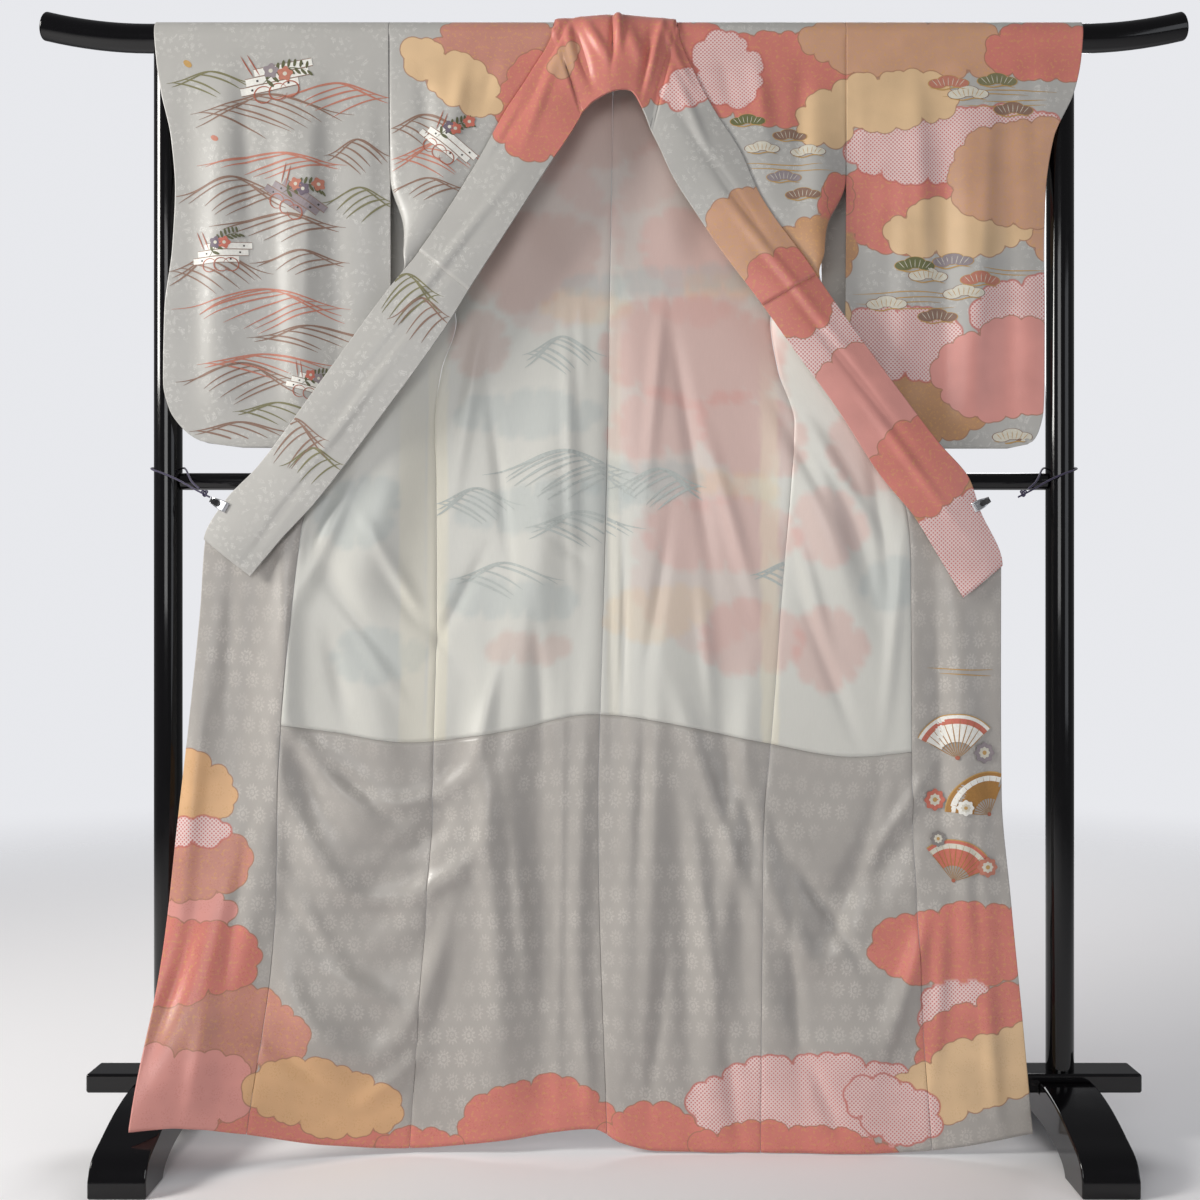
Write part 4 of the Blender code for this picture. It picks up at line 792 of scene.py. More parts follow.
# Colour of a cloud and the way it was dyed: 0 flat, 0.5 with gold flecks, 1 tied dots
DYES = {"coral": ("#D67F74", 0.5), "pink": ("#DF9A91", 0.0), "rose": ("#C98B7C", 0.5),
        "tan": ("#D0A083", 0.5), "gold": ("#C3936C", 0.5), "cream": ("#E2C096", 0.0),
        "honey": ("#DDB082", 0.0), "shibori": ("#E9CFCB", 1.0)}
LOBE = 0.0150              # radius of a scallop
LOBE_SPACING = 1.32        # in radii
NO_CLOUD = 0.05            # distance stored where no cloud is near


def cloud_distance(cloud, x, z):
    """Distance from a cloud's outline, negative inside: the least of that from a core ellipse and
    those from circles set round it at even lengths, whose sizes swing with their number."""
    across, up = leaning(cloud, x, z)
    lobe = min(LOBE, 0.27 * cloud.height, 0.27 * cloud.width)
    half_width, half_height = cloud.width / 2 - 1.2 * lobe, cloud.height / 2 - 1.2 * lobe
    core = (np.hypot(across / half_width, up / half_height) - 1) * min(half_width, half_height)
    turns = np.linspace(0, 2 * np.pi, 91)
    girth = np.cumsum(np.hypot(np.diff(half_width * np.cos(turns), prepend=half_width),
                               np.diff(half_height * np.sin(turns), prepend=0.0)))
    count = max(6, round(girth[-1] / (LOBE_SPACING * lobe)))
    for number in range(count):
        place = (number + 0.24 * math.sin(2.4 * number + 31 * cloud.x)) / count % 1
        turn = np.interp(place * girth[-1], girth, turns)
        size = lobe * (1 + 0.22 * math.sin(5.1 * number + 37 * cloud.z))
        ring = np.hypot(across - half_width * math.cos(turn), up - half_height * math.sin(turn))
        core = np.minimum(core, ring - size)
    return core


def store(mesh, name, values):
    """Stores a number or a colour for every vertex."""
    kind, key = ("FLOAT", "value") if values.ndim == 1 else ("FLOAT_COLOR", "color")
    layer = mesh.attributes.new(name, kind, "POINT")
    layer.data.foreach_set(key, values.astype(np.float32).ravel())


def paint_clouds(mesh, clouds, x, z):
    """Stores each layer's distance and dye on the mesh; the nearest cloud of a layer gives both."""
    for layer in (1, 2, 3, 4):
        nearest = np.full(x.size, NO_CLOUD)
        dye = np.tile(np.array(linear(DYES["coral"][0])[:3] + (0.0,)), (x.size, 1))
        for cloud in [c for c in clouds if c.layer == layer]:
            distance = cloud_distance(cloud, x, z)
            closer = distance < nearest
            nearest[closer] = distance[closer]
            colour, way = DYES[cloud.kind]
            dye[closer] = np.array(linear(colour)[:3] + (way,))
        store(mesh, "cloud%d" % layer, nearest)
        store(mesh, "dye%d" % layer, dye)


print(len(SHOULDER_CLOUDS), "clouds on shoulders and sleeves,", len(COLLAR_CLOUDS), "on the collar,",
      len(HEM_CLOUDS), "at the hem,", len(BACK_CLOUDS), "behind")

# %% [markdown]
# The outer silk is a figured satin with little flowers that only show as a change of sheen.
# Here they get less roughness and also a lighter colour, which is a painted sheen. In a viewer it
# is a ground colour with the flowers, then the four layers of clouds. The tied dots of shibori are
# 5.6 mm apart. The real threads are 0.1 mm and can't show, so the bump is a coarse crepe of about
# 1.3 mm.
# %% Figured silk
FLOWER_SPACING = (0.0125, 0.0125)
DOT_SPACING = 0.0056
EDGE_SOFTNESS = 0.0004     # half the width over which a cloud's edge turns
RIM_WIDTH = 0.0011
TIED_RIM = 0.0019          # a tied cloud has a broader rim
PATCHES_PER_METRE = 9
CLUSTERS_PER_METRE = 30    # flowers lie in loose clusters about 30 mm apart
STRAYS_PER_METRE = 45      # and each strays from its row by up to 10 mm
CREPE_PER_METRE = 760
FLECKS_PER_METRE = 210


def flowers(tree, flat, spacing, petals, reach):
    """1 in a flower and 0 outside: cells of a lattice, each row half a cell further along, with a
    radius that swings about reach with the angle by the number of petals."""
    cells = add(tree, "VectorMath", (flat, (1 / spacing[0], 1 / spacing[1], 1.0)), "MULTIPLY")
    parts = add(tree, "SeparateXYZ", (cells,))
    row = add(tree, "Math", (parts.outputs["Y"],), "FLOOR")
    shift = add(tree, "Math", (row, 0.5), "MULTIPLY")
    slid = add(tree, "Math", (parts.outputs["X"], shift), "ADD")
    local = [add(tree, "Math", (add(tree, "Math", (way,), "FRACT"), 0.5), "SUBTRACT")
             for way in (slid, parts.outputs["Y"])]
    squares = [add(tree, "Math", (way, 2.0), "POWER") for way in local]
    radius = add(tree, "Math", (add(tree, "Math", squares, "ADD"),), "SQRT")
    turn = add(tree, "Math", (local[1], local[0]), "ARCTAN2")
    swing = add(tree, "Math", (add(tree, "Math", (turn, float(petals)), "MULTIPLY"),), "COSINE")
    reach = add(tree, "Math", (swing, 0.25 * reach, reach), "MULTIPLY_ADD")
    inside = add(tree, "Math", (reach, radius), "SUBTRACT")
    petal = add(tree, "MapRange", {"Value": inside, "From Min": -0.02, "From Max": 0.03})
    ring = add(tree, "Math", (radius, 0.15, 0.030), "COMPARE")
    return add(tree, "Math", (petal, ring), "SUBTRACT", use_clamp=True)


def cloud_layers(tree, flat, colour):
    """Lays the four layers over a colour: the dye where the distance is below nought, then a fine
    rim. The dye's alpha says whether it is flat, flecked with gold, or tied in dots."""
    dots = add(tree, "VectorMath", (flat, (2 * math.pi / DOT_SPACING,) * 3), "MULTIPLY")
    way = add(tree, "SeparateXYZ", (dots,))
    waves = [add(tree, "Math", (way.outputs[name],), "COSINE") for name in "XY"]
    lattice = add(tree, "Math", waves, "MULTIPLY")
    knot = add(tree, "MapRange", {"Value": lattice, "From Min": 0.05, "From Max": 0.60})
    flecks = add(tree, "TexNoise", {"Vector": flat, "Scale": float(FLECKS_PER_METRE),
                                    "Detail": 3.0, "Roughness": 0.65})
    gilt = add(tree, "MapRange", {"Value": flecks, "From Min": 0.54, "From Max": 0.62, "To Max": 0.5})
    depth = add(tree, "TexNoise", {"Vector": flat, "Scale": 16.0, "Detail": 2.0})
    shade = add(tree, "MapRange", {"Value": depth, "To Min": 0.80, "To Max": 1.16})
    for layer in (1, 2, 3, 4):
        far = add(tree, "Attribute", attribute_name="cloud%d" % layer).outputs["Fac"]
        dye = add(tree, "Attribute", attribute_name="dye%d" % layer)
        tied = add(tree, "Math", (dye.outputs["Alpha"], 0.75), "GREATER_THAN")
        flecked = add(tree, "Math", (dye.outputs["Alpha"], 0.5, 0.2), "COMPARE")
        fill = add(tree, "VectorMath", (dye.outputs["Color"], shade), "MULTIPLY")
        gold = add(tree, "Math", (gilt, flecked), "MULTIPLY")
        fill = add(tree, "Mix", {"Factor": gold, "A": fill, "B": linear("#D8A765")}, data_type="RGBA")
        dot = add(tree, "Math", (knot, tied), "MULTIPLY")
        fill = add(tree, "Mix", {"Factor": dot, "A": fill, "B": linear("#C9706C")}, data_type="RGBA")
        rim = add(tree, "Mix", {"Factor": tied, "A": linear("#A5745A"),
                                "B": linear("#C4685C")}, data_type="RGBA")
        inside = add(tree, "MapRange", {"Value": far, "From Min": EDGE_SOFTNESS,
                                        "From Max": -EDGE_SOFTNESS})
        colour = add(tree, "Mix", {"Factor": inside, "A": colour, "B": fill}, data_type="RGBA")
        near = add(tree, "Math", (far,), "ABSOLUTE")
        wide = add(tree, "Math", (tied, TIED_RIM - RIM_WIDTH, RIM_WIDTH), "MULTIPLY_ADD")
        near = add(tree, "Math", (near, wide), "DIVIDE")
        line = add(tree, "MapRange", {"Value": near, "From Min": 1.0, "From Max": 0.4, "To Max": 0.75})
        colour = add(tree, "Mix", {"Factor": line, "A": colour, "B": rim}, data_type="RGBA")
    return colour


def silk_surface(shader, tree, flat, colour, figure, sheen, rough, crepe):
    """Puts colour, a sheen that the woven figure changes, and a fine crepe bump on the shader."""
    gloss = add(tree, "MapRange", {"Value": figure, "To Min": rough, "To Max": rough - 0.12})
    grain = add(tree, "TexNoise", {"Vector": flat, "Scale": float(CREPE_PER_METRE), "Detail": 2.0})
    woven = add(tree, "Math", (figure, 0.6, grain), "MULTIPLY_ADD")
    bump = add(tree, "Bump", {"Strength": crepe, "Distance": 0.0004, "Height": woven})
    feed(shader, {"Base Color": colour, "Roughness": gloss, "Normal": bump, "Sheen Weight": sheen,
                  "Coat Weight": 0.10, "Coat Roughness": 0.32, "Sheen Roughness": 0.45,
                  "Specular IOR Level": 0.50})


figured_silk, tree, shader = new_material("figured_satin_silk")
flat = add(tree, "UVMap", uv_map="cloth")
strayed = add(tree, "TexNoise", {"Vector": flat, "Scale": float(STRAYS_PER_METRE)})
strayed = add(tree, "VectorMath", (strayed.outputs["Color"], (0.030, 0.030, 0.0), flat), "MULTIPLY_ADD")
figure = flowers(tree, strayed, FLOWER_SPACING, 5, 0.28)
patch = add(tree, "TexNoise", {"Vector": flat, "Scale": float(PATCHES_PER_METRE), "Detail": 2.0})
ground = add(tree, "Mix", {"Factor": patch, "A": linear("#AEACA8"),
                           "B": linear("#BFBDB8")}, data_type="RGBA")
strewn = add(tree, "TexNoise", {"Vector": flat, "Scale": float(CLUSTERS_PER_METRE), "Detail": 1.0})
strewn = add(tree, "MapRange", {"Value": strewn, "From Min": 0.44, "From Max": 0.58, "To Min": 0.05})
figure = add(tree, "Math", (figure, strewn), "MULTIPLY")
# painted sheen: the flowers are lightened towards #DEDCD7, a painted highlight of their satin
ground = add(tree, "Mix", {"Factor": add(tree, "Math", (figure, 0.40), "MULTIPLY"), "A": ground,
                           "B": linear("#DEDCD7")}, data_type="RGBA")
silk_surface(shader, tree, flat, cloud_layers(tree, flat, ground), figure, 0.25, 0.42, 0.25)
print("figured silk:", len(tree.nodes), "nodes")

# %% [markdown]
# The skirt lining is a darker figured silk with rosettes, whose sheen is partly painted as a
# lighter colour, and the outer clouds return on it near the hem. The upper lining is plain white
# silk. It is so thin that the dyed clouds of the outer silk show through it as soft stains, which
# are stored on its vertices too.
# %% Lining silks
ROSETTE_SPACING = (0.024, 0.031)
STAIN_SHARE = {"coral": 0.30, "pink": 0.32, "rose": 0.26, "cream": 0.30, "shibori": 0.30,
               "tan": 0.25, "mist": 0.40, "gold": 0.25, "blush": 0.15}
THROUGH = {"mist": "#AEB9B9", "blush": "#D67F74"}     # the grey ground shows as a cool mist
STAINS = table(CLOUD, """
    1 blush 110 1300 240 300 0, 1 blush 120 1060 260 340 0, 1 blush 130 820 230 260 0,
    1 blush -90 1270 220 260 0, 1 blush 0 1420 240 220 0
""") + tuple(cloud for cloud in BACK_CLOUDS if 0.6 < cloud.z < 1.45) + table(CLOUD, """
    1 mist 80 1222 340 50 4, 1 mist -120 1030 220 80 0, 1 mist 40 935 190 70 0, 1 mist -100 900 260 80 6,
    1 mist -150 770 220 70 -4, 1 coral 355 975 130 130 -40, 1 pink 300 870 120 120 -10,
    1 coral 300 700 120 130 0, 1 mist -355 890 140 110 30, 1 mist -330 690 150 90 0,
    1 mist 385 790 110 80 20
""")
STAIN_SOFTNESS = (0.003, -0.007)
ALLOWANCES = table("first last low high strength", """
    -262 -232 500 1180 0.34, -300 -262 500 1120 0.22, 204 232 500 1160 0.34, -10 10 500 1300 0.15
""")
ALLOWANCE_EDGE = 0.003


def paint_stains(mesh, x, z):
    """Stores the stains' colour: the outer silk's clouds, pale and with an edge 10 mm wide. The seams'
    turned-in edges show through as straight cream strips."""
    colour = np.tile(np.array(linear("#D3D2CB")), (x.size, 1))
    for stain in STAINS:
        dye = THROUGH.get(stain.kind) or DYES[stain.kind][0]
        share = STAIN_SHARE[stain.kind] * ease(*STAIN_SOFTNESS, cloud_distance(stain, x, z))
        colour += (np.array(linear(dye)) - colour) * share[:, None]
    for strip in ALLOWANCES:
        inside = np.minimum(x - strip.first, strip.last - x)
        share = strip.strength * ease(0.0, ALLOWANCE_EDGE, inside) * ease(strip.high, strip.high - 0.2, z)
        colour += (np.array(linear("#EFE5C6")) - colour) * (share * (z > strip.low))[:, None]
    store(mesh, "stain", colour)


skirt_silk, tree, shader = new_material("rosette_damask_silk")
flat = add(tree, "UVMap", uv_map="cloth")
figure = flowers(tree, flat, ROSETTE_SPACING, 11, 0.34)
patch = add(tree, "TexNoise", {"Vector": flat, "Scale": 11.0, "Detail": 2.0})
ground = add(tree, "Mix", {"Factor": patch, "A": linear("#A7A29D"), "B": linear("#B4AFA9")},
             data_type="RGBA")
broken = add(tree, "TexNoise", {"Vector": flat, "Scale": 420.0, "Detail": 1.0})
broken = add(tree, "MapRange", {"Value": broken, "From Min": 0.40, "From Max": 0.58, "To Min": 0.10})
figure = add(tree, "Math", (figure, broken), "MULTIPLY")
# painted sheen: the rosettes are lightened towards #D6D1CA, much in some places and hardly in others
shown = add(tree, "MapRange", {"Value": patch, "From Min": 0.36, "From Max": 0.62, "To Min": 0.12,
                               "To Max": 0.60})
shown = add(tree, "Math", (figure, shown), "MULTIPLY")
ground = add(tree, "Mix", {"Factor": shown, "A": ground, "B": linear("#D6D1CA")}, data_type="RGBA")
silk_surface(shader, tree, flat, cloud_layers(tree, flat, ground), figure, 0.20, 0.37, 0.25)

white_silk, tree, shader = new_material("plain_white_silk")
flat = add(tree, "UVMap", uv_map="cloth")
stain = add(tree, "Attribute", attribute_name="stain")
drawn = add(tree, "Mapping", {"Vector": flat, "Scale": (900.0, 60.0, 1.0)})
threads = add(tree, "TexNoise", {"Vector": drawn, "Scale": 1.0, "Detail": 2.0})
tone = add(tree, "MapRange", {"Value": threads, "To Min": 0.955, "To Max": 1.03})
colour = add(tree, "VectorMath", (stain.outputs["Color"], tone), "MULTIPLY")
silk_surface(shader, tree, flat, colour, threads, 0.15, 0.46, 0.12)
print("linings:", skirt_silk.name, "and", white_silk.name, "with", len(STAINS), "stains")

# %% [markdown]
# A panel's grid has a point about every 6 mm, and more beside its edges, where a seam makes a
# narrow valley. A Solidify modifier gives the silk its wall afterwards. The lining is the same
# grid moved along the normals, so it can't cut through the silk, and meets it at the free edges.
# %% Cloth pieces
Panel = namedtuple("Panel", "points normals")
PANELS = {}
EDGE_STEPS = (0.0, 0.0014, 0.0032, 0.0058)
GRID_STEP = 0.0064
PATTERN_STEP = 0.0048      # where a cloud's outline is seen close to
SEAM_VALLEY = 0.0009
SEAM_VALLEY_WIDTH = 0.0036
LAYERS_TOUCH = (SILK + LINING) / 2 + 0.0001
HEM_ROLL = 0.0022          # the skirt lining shows this far below the outer silk


def spread(width, step):
    """Places across a strip from 0 to 1: even, with a few close together beside both edges."""
    edge = np.array(EDGE_STEPS) / width
    inner = np.linspace(edge[-1], 1 - edge[-1], max(3, round(width / step)))[1:-1]
    return np.concatenate((edge, inner, 1 - edge[::-1]))


def rows_between(top, bottom, step=GRID_STEP):
    """Distances along the cloth between two heights, as a column of numbers."""
    first = FOLD_GAP if top > BAR_Z else QUARTER_TURN + BAR_Z - top
    last = QUARTER_TURN + BAR_Z - bottom
    rows = np.linspace(max(first, QUARTER_TURN), last, max(3, round((last - first) / step)))
    if first < QUARTER_TURN:
        rows = np.concatenate((np.linspace(first, QUARTER_TURN, 13)[:-1], rows))
    return rows[:, None]


def valley(points, u, width, distance):
    """Presses both edges of a strip in by a bell curve, so that two sewn panels make a valley."""
    away = np.minimum(u, 1 - u) * width
    depth = SEAM_VALLEY * np.exp(-(away / SEAM_VALLEY_WIDTH) ** 2) * ease(0.0, 0.05, distance)
    points[..., 1] += depth * (distance > QUARTER_TURN)
    return points


def quads(rows, columns):
    """Corner numbers of a grid's faces, whose normals point as directions() gives them."""
    first = np.arange(rows - 1)[:, None] * columns + np.arange(columns - 1)
    return np.stack((first, first + 1, first + columns + 1, first + columns), -1).reshape(-1, 4)


def lengths(points, axis=0):
    """Length run along a line of points, or along each line of a grid."""
    steps = np.diff(points, axis=axis, prepend=points.take([0], axis))
    return np.cumsum(np.linalg.norm(steps, axis=-1), axis)


def grid_object(name, points, finish, upright=False):
    """Mesh object through a grid of points, smooth, with its flat measures as the UV map cloth:
    lengths run along each row and down the middle column. An upright map is the place itself."""
    rows, columns = points.shape[:2]
    mesh = bpy.data.meshes.new(name)
    faces = quads(rows, columns)
    mesh.vertices.add(rows * columns)
    mesh.vertices.foreach_set("co", points.astype(np.float32).ravel())
    mesh.loops.add(faces.size)
    mesh.loops.foreach_set("vertex_index", faces.ravel().astype(np.int32))
    mesh.polygons.add(len(faces))
    mesh.polygons.foreach_set("loop_start", np.arange(0, faces.size, 4, dtype=np.int32))
    mesh.update(calc_edges=True)
    along = lengths(points[:, columns // 2])[:, None]
    flat = (points[..., (0, 2)] if upright
            else np.stack(np.broadcast_arrays(lengths(points, 1), along), -1))
    flat = flat.reshape(-1, 2)
    layer = mesh.uv_layers.new(name="cloth")
    layer.data.foreach_set("uv", flat[faces.ravel()].astype(np.float32).ravel())
    mesh.polygons.foreach_set("use_smooth", np.ones(len(faces), dtype=bool))
    return show(name, mesh, finish)


def give_wall(item, thickness):
    """A Solidify modifier, half of the wall on each side of the surface."""
    wall = item.modifiers.new("wall", "SOLIDIFY")
    wall.thickness = thickness
    wall.offset = 0.0


def stand_for(item, node):
    """Rides the piece on the one body, root; where it stands for a solid, node names it and the solid is
    hidden.
    """
    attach(item, "root")
    if node:
        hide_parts(node)


def finish_cloth(name, points, distance, finish, clouds):
    """Makes a panel, paints it, gives it its wall and sets it on the body in place of the solid's node.
    """
    item = grid_object("silk_" + name, points, finish)
    heights = QUARTER_TURN + BAR_Z - distance
    unrolled = np.where(distance < QUARTER_TURN, heights, points[..., 2])
    if clouds is None:
        paint_stains(item.data, points[..., 0].ravel(), points[..., 2].ravel())
    else:
        paint_clouds(item.data, clouds, points[..., 0].ravel(), unrolled.ravel())
    give_wall(item, SILK if finish is figured_silk else LINING)
    stand_for(item, name)
    PANELS[name] = Panel(points, directions(points))
    report_cloth(item, points)
    return item


def report_cloth(item, points):
    """Prints a piece's size and number of grid faces."""
    size = np.round(1000 * np.ptp(points.reshape(-1, 3), axis=0)).astype(int).tolist()
    print("  %-28s %s mm, %d faces" % (item.name, size, len(item.data.polygons)))


def onto_silk(points, out, touching):
    """Moves a lining off its silk along the normals, and closer where it touches it."""
    step = LINING_STEP - (LINING_STEP - LAYERS_TOUCH) * touching
    return points + out * directions(points) * step[..., None]


# %% [markdown]
# A body panel is one length of cloth from the front hem over the shoulder to the back hem, 31 cm
# wide once sewn. It is parted at the top of the bar only because its solid is.
# %% Body panels
BODY_WIDTH = 0.31
BODY_LENGTH = 1.60
OVERLAP_WIDTH = 0.15
for side in (LEFT, RIGHT):
    rows = rows_between(BODY_LENGTH, NOMINAL_HEM)
    u = spread(BODY_WIDTH, GRID_STEP)[None, :]
    points = valley(back_surface(side, u, rows), u, BODY_WIDTH, rows)
    back = finish_cloth("back_" + side, points, rows, figured_silk, BACK_CLOUDS + HEM_CLOUDS)
    last = profile(FRONT[side], "overlap_seam", bar_height(rows))
    points = valley(front_strip(side, u, rows, 0.0 * last, last, SEAM / 2), u, BODY_WIDTH, rows)
    shoulder = finish_cloth("front_" + side, points, rows, figured_silk,
                            SHOULDER_CLOUDS + BACK_CLOUDS[3:16] + HEM_CLOUDS)

# %% [markdown]
# The overlap is half a cloth's width. It begins as a point on the collar seam and widens to 15 cm
# at the waist. Its lining is the skirt lining, cut to the same shape.
# %% Overlaps
HEM_TOUCH = 0.005          # at the hem and the free edge a lining comes up to its silk this near
EDGE_TOUCH = 0.004
for side in (LEFT, RIGHT):
    u = spread(OVERLAP_WIDTH, PATTERN_STEP)[None, :]
    for lined, top, finish, gap in ((0, OVERLAP_TOP, figured_silk, SEAM / 2),
                                    (1, OVERLAP_LINING_TOP, skirt_silk, LINING_INSET)):
        rows = rows_between(top, NOMINAL_HEM - HEM_ROLL * lined, PATTERN_STEP)
        seam = profile(FRONT[side], "overlap_seam", bar_height(rows))
        points = front_strip(side, u, rows, seam, 1.0 + 0.0 * seam, gap)
        points = valley(points, np.minimum(u, 0.5), OVERLAP_WIDTH, rows)
        if lined:
            touching = np.maximum(np.exp(-((1 - u) * OVERLAP_WIDTH / EDGE_TOUCH) ** 2),
                                  np.exp(-((rows[-1] - rows) / HEM_TOUCH) ** 2))
            points = onto_silk(points, -SIGN[side], touching)
        item = finish_cloth("okumi_" + "lining_" * lined + side, points, rows, finish, HEM_CLOUDS)

# %% [markdown]
# White silk lines the body down to the hips and the skirt lining goes on from there to the hem,
# where a real maker lets it stand 2 mm below the outer silk as a rolled edge.
# %% Linings of the body
WHITE_TOP = 1.544
for side in (LEFT, RIGHT):
    u = spread(BODY_WIDTH, GRID_STEP)[None, :]
    for part, top, bottom, finish in (("lining_", WHITE_TOP, LINING_SEAM_Z, white_silk),
                                      ("skirt_lining_", LINING_SEAM_Z - SEAM,
                                       NOMINAL_HEM - HEM_ROLL, skirt_silk)):
        white = finish is white_silk
        for panel in ("back_", "front_"):
            narrow = panel == "front_"
            rows = rows_between(OVERLAP_TOP if white and narrow else top, bottom)
            if narrow:
                last = profile(FRONT[side], "overlap_seam", bar_height(rows))
                points = front_strip(side, u, rows, 0.0 * last, last, LINING_INSET)
            else:
                points = back_surface(side, u, rows, LINING_INSET)
            points = valley(points, u, BODY_WIDTH, rows)
            touching = np.exp(-((rows[-1] - rows) / HEM_TOUCH) ** 2) * (not white)
            points = onto_silk(points, -SIGN[side], touching)
            item = finish_cloth(panel + part + side, points, rows, finish,
                                None if white else HEM_CLOUDS)

# %% [markdown]
# A sleeve is one length too, folded over the shoulder and sewn up along the foot and the outer
# edge below the cuff. It hangs over the bar beside the body.
# %% Sleeves
SLEEVE_WIDTH = 0.33
for side in (LEFT, RIGHT):
    for layer, step, clouds in (("front", PATTERN_STEP, SHOULDER_CLOUDS),
                                ("back", GRID_STEP, BACK_CLOUDS)):
        rows = rows_between(BODY_LENGTH, SLEEVE_FOOT, step)
        points = sleeve_surface(side, layer, spread(SLEEVE_WIDTH, step)[None, :], rows)
        item = finish_cloth("sleeve_%s_%s" % (side, layer), points, rows, figured_silk, clouds)

# %% [markdown]
# Where the collar goes round the neck, its free edge has less way to go than its seam, and the
# satin gathers in soft pleats that run down from the shoulder. They are ridges on the ribbon: a
# bell curve along it for each, which fades towards the seam.
# %% Collar and over-collar
COLLAR_STEP = 0.0050
COLLAR_PLACES = 40
NECK_STEPS = 9
PLEATS = table(FOLD, """
    0 1530 70 40 0 5, -102 1538 5 45 -28 5.8, -84 1544 4.5 50 -30 -5.6, -62 1555 6 30 10 3,
    -45 1530 7.5 36 18 -8, -24 1549 6.5 30 30 5.2, -2 1553 4 34 -2 -6.4, 6 1570 4.5 26 2 8,
    27 1546 9 30 20 3.6, 45 1520 5.5 34 -8 -6, 56 1530 4.5 45 -14 6.6, 72 1512 5 40 -16 -5.6,
    88 1530 6 40 26 3.4, -100 1470 7 60 -20 3, -128 1455 7 60 -30 -3, -150 1430 7 60 -34 2.6,
    110 1440 7 60 22 2.6, 160 1340 7 110 34 -2.2, 235 1220 8 120 38 2.4, 330 1080 7 120 38 -2.2,
    405 960 7 100 37 2.4, -215 1260 7 110 -38 2.4, -300 1130 8 120 -38 -2.4, -380 1000 7 110 -37 2.2,
    -450 900 7 80 -36 -2.2
""")
PLEAT_SEAM_FADE = (0.0, 0.25)
PLEAT_EDGE_FADE = (1.0, 0.93)
PLEAT_FRONT = (0.012, -0.004)      # in front of the bar, by depth
PLEAT_DEEPEST = -0.0012
w = np.concatenate(((0.0, 0.010, 0.025), np.linspace(0.05, 0.96, COLLAR_PLACES),
                    (0.98, 0.992, 1.0)))


def finish_collar(name, ends, lift, wall):
    """Makes one ribbon of the collar, lifted off the collar's surface, between two heights. The
    pleats' bell curves raise it towards the viewer, less near both edges."""
    points = collar_surface(ends, COLLAR_STEP, w)
    share = ease(*PLEAT_SEAM_FADE, w) * ease(*PLEAT_EDGE_FADE, w) * ease(*PLEAT_FRONT, points[..., 1])
    bell = np.maximum(bells(PLEATS, points[..., 0], points[..., 2]), PLEAT_DEEPEST)
    points = points + directions(points) * (bell * share)[..., None]
    points = points + directions(points) * lift
    item = grid_object("silk_" + name, points, figured_silk, upright=True)
    paint_clouds(item.data, COLLAR_CLOUDS, points[..., 0].ravel(), points[..., 2].ravel())
    give_wall(item, wall)
    stand_for(item, name)
    PANELS[name] = Panel(points, directions(points))
    report_cloth(item, points)
    return item


collar = finish_collar("collar", COLLAR_END, 0.0, COLLAR_THICKNESS)
over_collar = finish_collar("over_collar", OVER_COLLAR_END, OVER_COLLAR_STEP, SILK)

# %% [markdown]
# Fine motifs are dyed and painted by hand on the real silk: wind-blown waves, raft planks with
# flowers, pines and gold lines. A grid with a point every 5 mm can't hold a stroke 1 mm wide, so
# each is a thin film of its own. It is drawn flat in x and z and laid on its panel: from the
# nearest point of the grid, steps across and along the cloth make up the rest.
# %% Films of dye
Mark = namedtuple("Mark", "points faces colour level")
FILM = 0.00010             # thickness of a film
FILM_LEVEL = 0.00012       # from one level of films to the next
FILM_CLEAR = 0.00025       # lowest level over the silk
LOST = 0.0012              # a point further off than this lies beyond the panel's edge
dyed_film, tree, shader = new_material("painted_dye_and_gold")
ink = add(tree, "Attribute", attribute_name="ink")
flat = add(tree, "TexCoord").outputs["Object"]
wash = add(tree, "TexNoise", {"Vector": flat, "Scale": 320.0, "Detail": 3.0})
tone = add(tree, "MapRange", {"Value": wash, "To Min": 0.82, "To Max": 1.14})
colour = add(tree, "VectorMath", (ink.outputs["Color"], tone), "MULTIPLY")
feed(shader, {"Base Color": colour, "Roughness": 0.5, "Sheen Weight": 0.15})
INKS = {"brown": "#8E7060", "olive": "#7E7A58", "coral": "#C07C68", "rust": "#A9604A",
        "white": "#EFEDE6", "mauve": "#958A8E", "grey": "#8C8682", "gold": "#C29A5B",
        "leaf": "#5F6040", "plum": "#6F6270", "dark": "#3A342F", "red": "#C9705E", "pale": "#D8D3C4",
        "faint": "#BBC0BC", "mustard": "#A97A3C", "pine": "#6C6E45"}


def stroke(line, width, colour, level=0):
    """Brush stroke along a line of points: its width swells and fades like half a sine."""
    way = np.gradient(line, axis=0)
    way /= np.maximum(np.linalg.norm(way, axis=1, keepdims=True), 1e-9)
    side = np.stack((-way[:, 1], way[:, 0]), -1)
    t = np.linspace(0, 1, len(line))
    half = width / 2 * np.maximum(np.sin(np.pi * t) ** 0.6, 0.15)
    points = np.stack((line - side * half[:, None], line + side * half[:, None]), 1)
    return Mark(points.reshape(-1, 2), quads(len(line), 2).tolist(), colour, level)


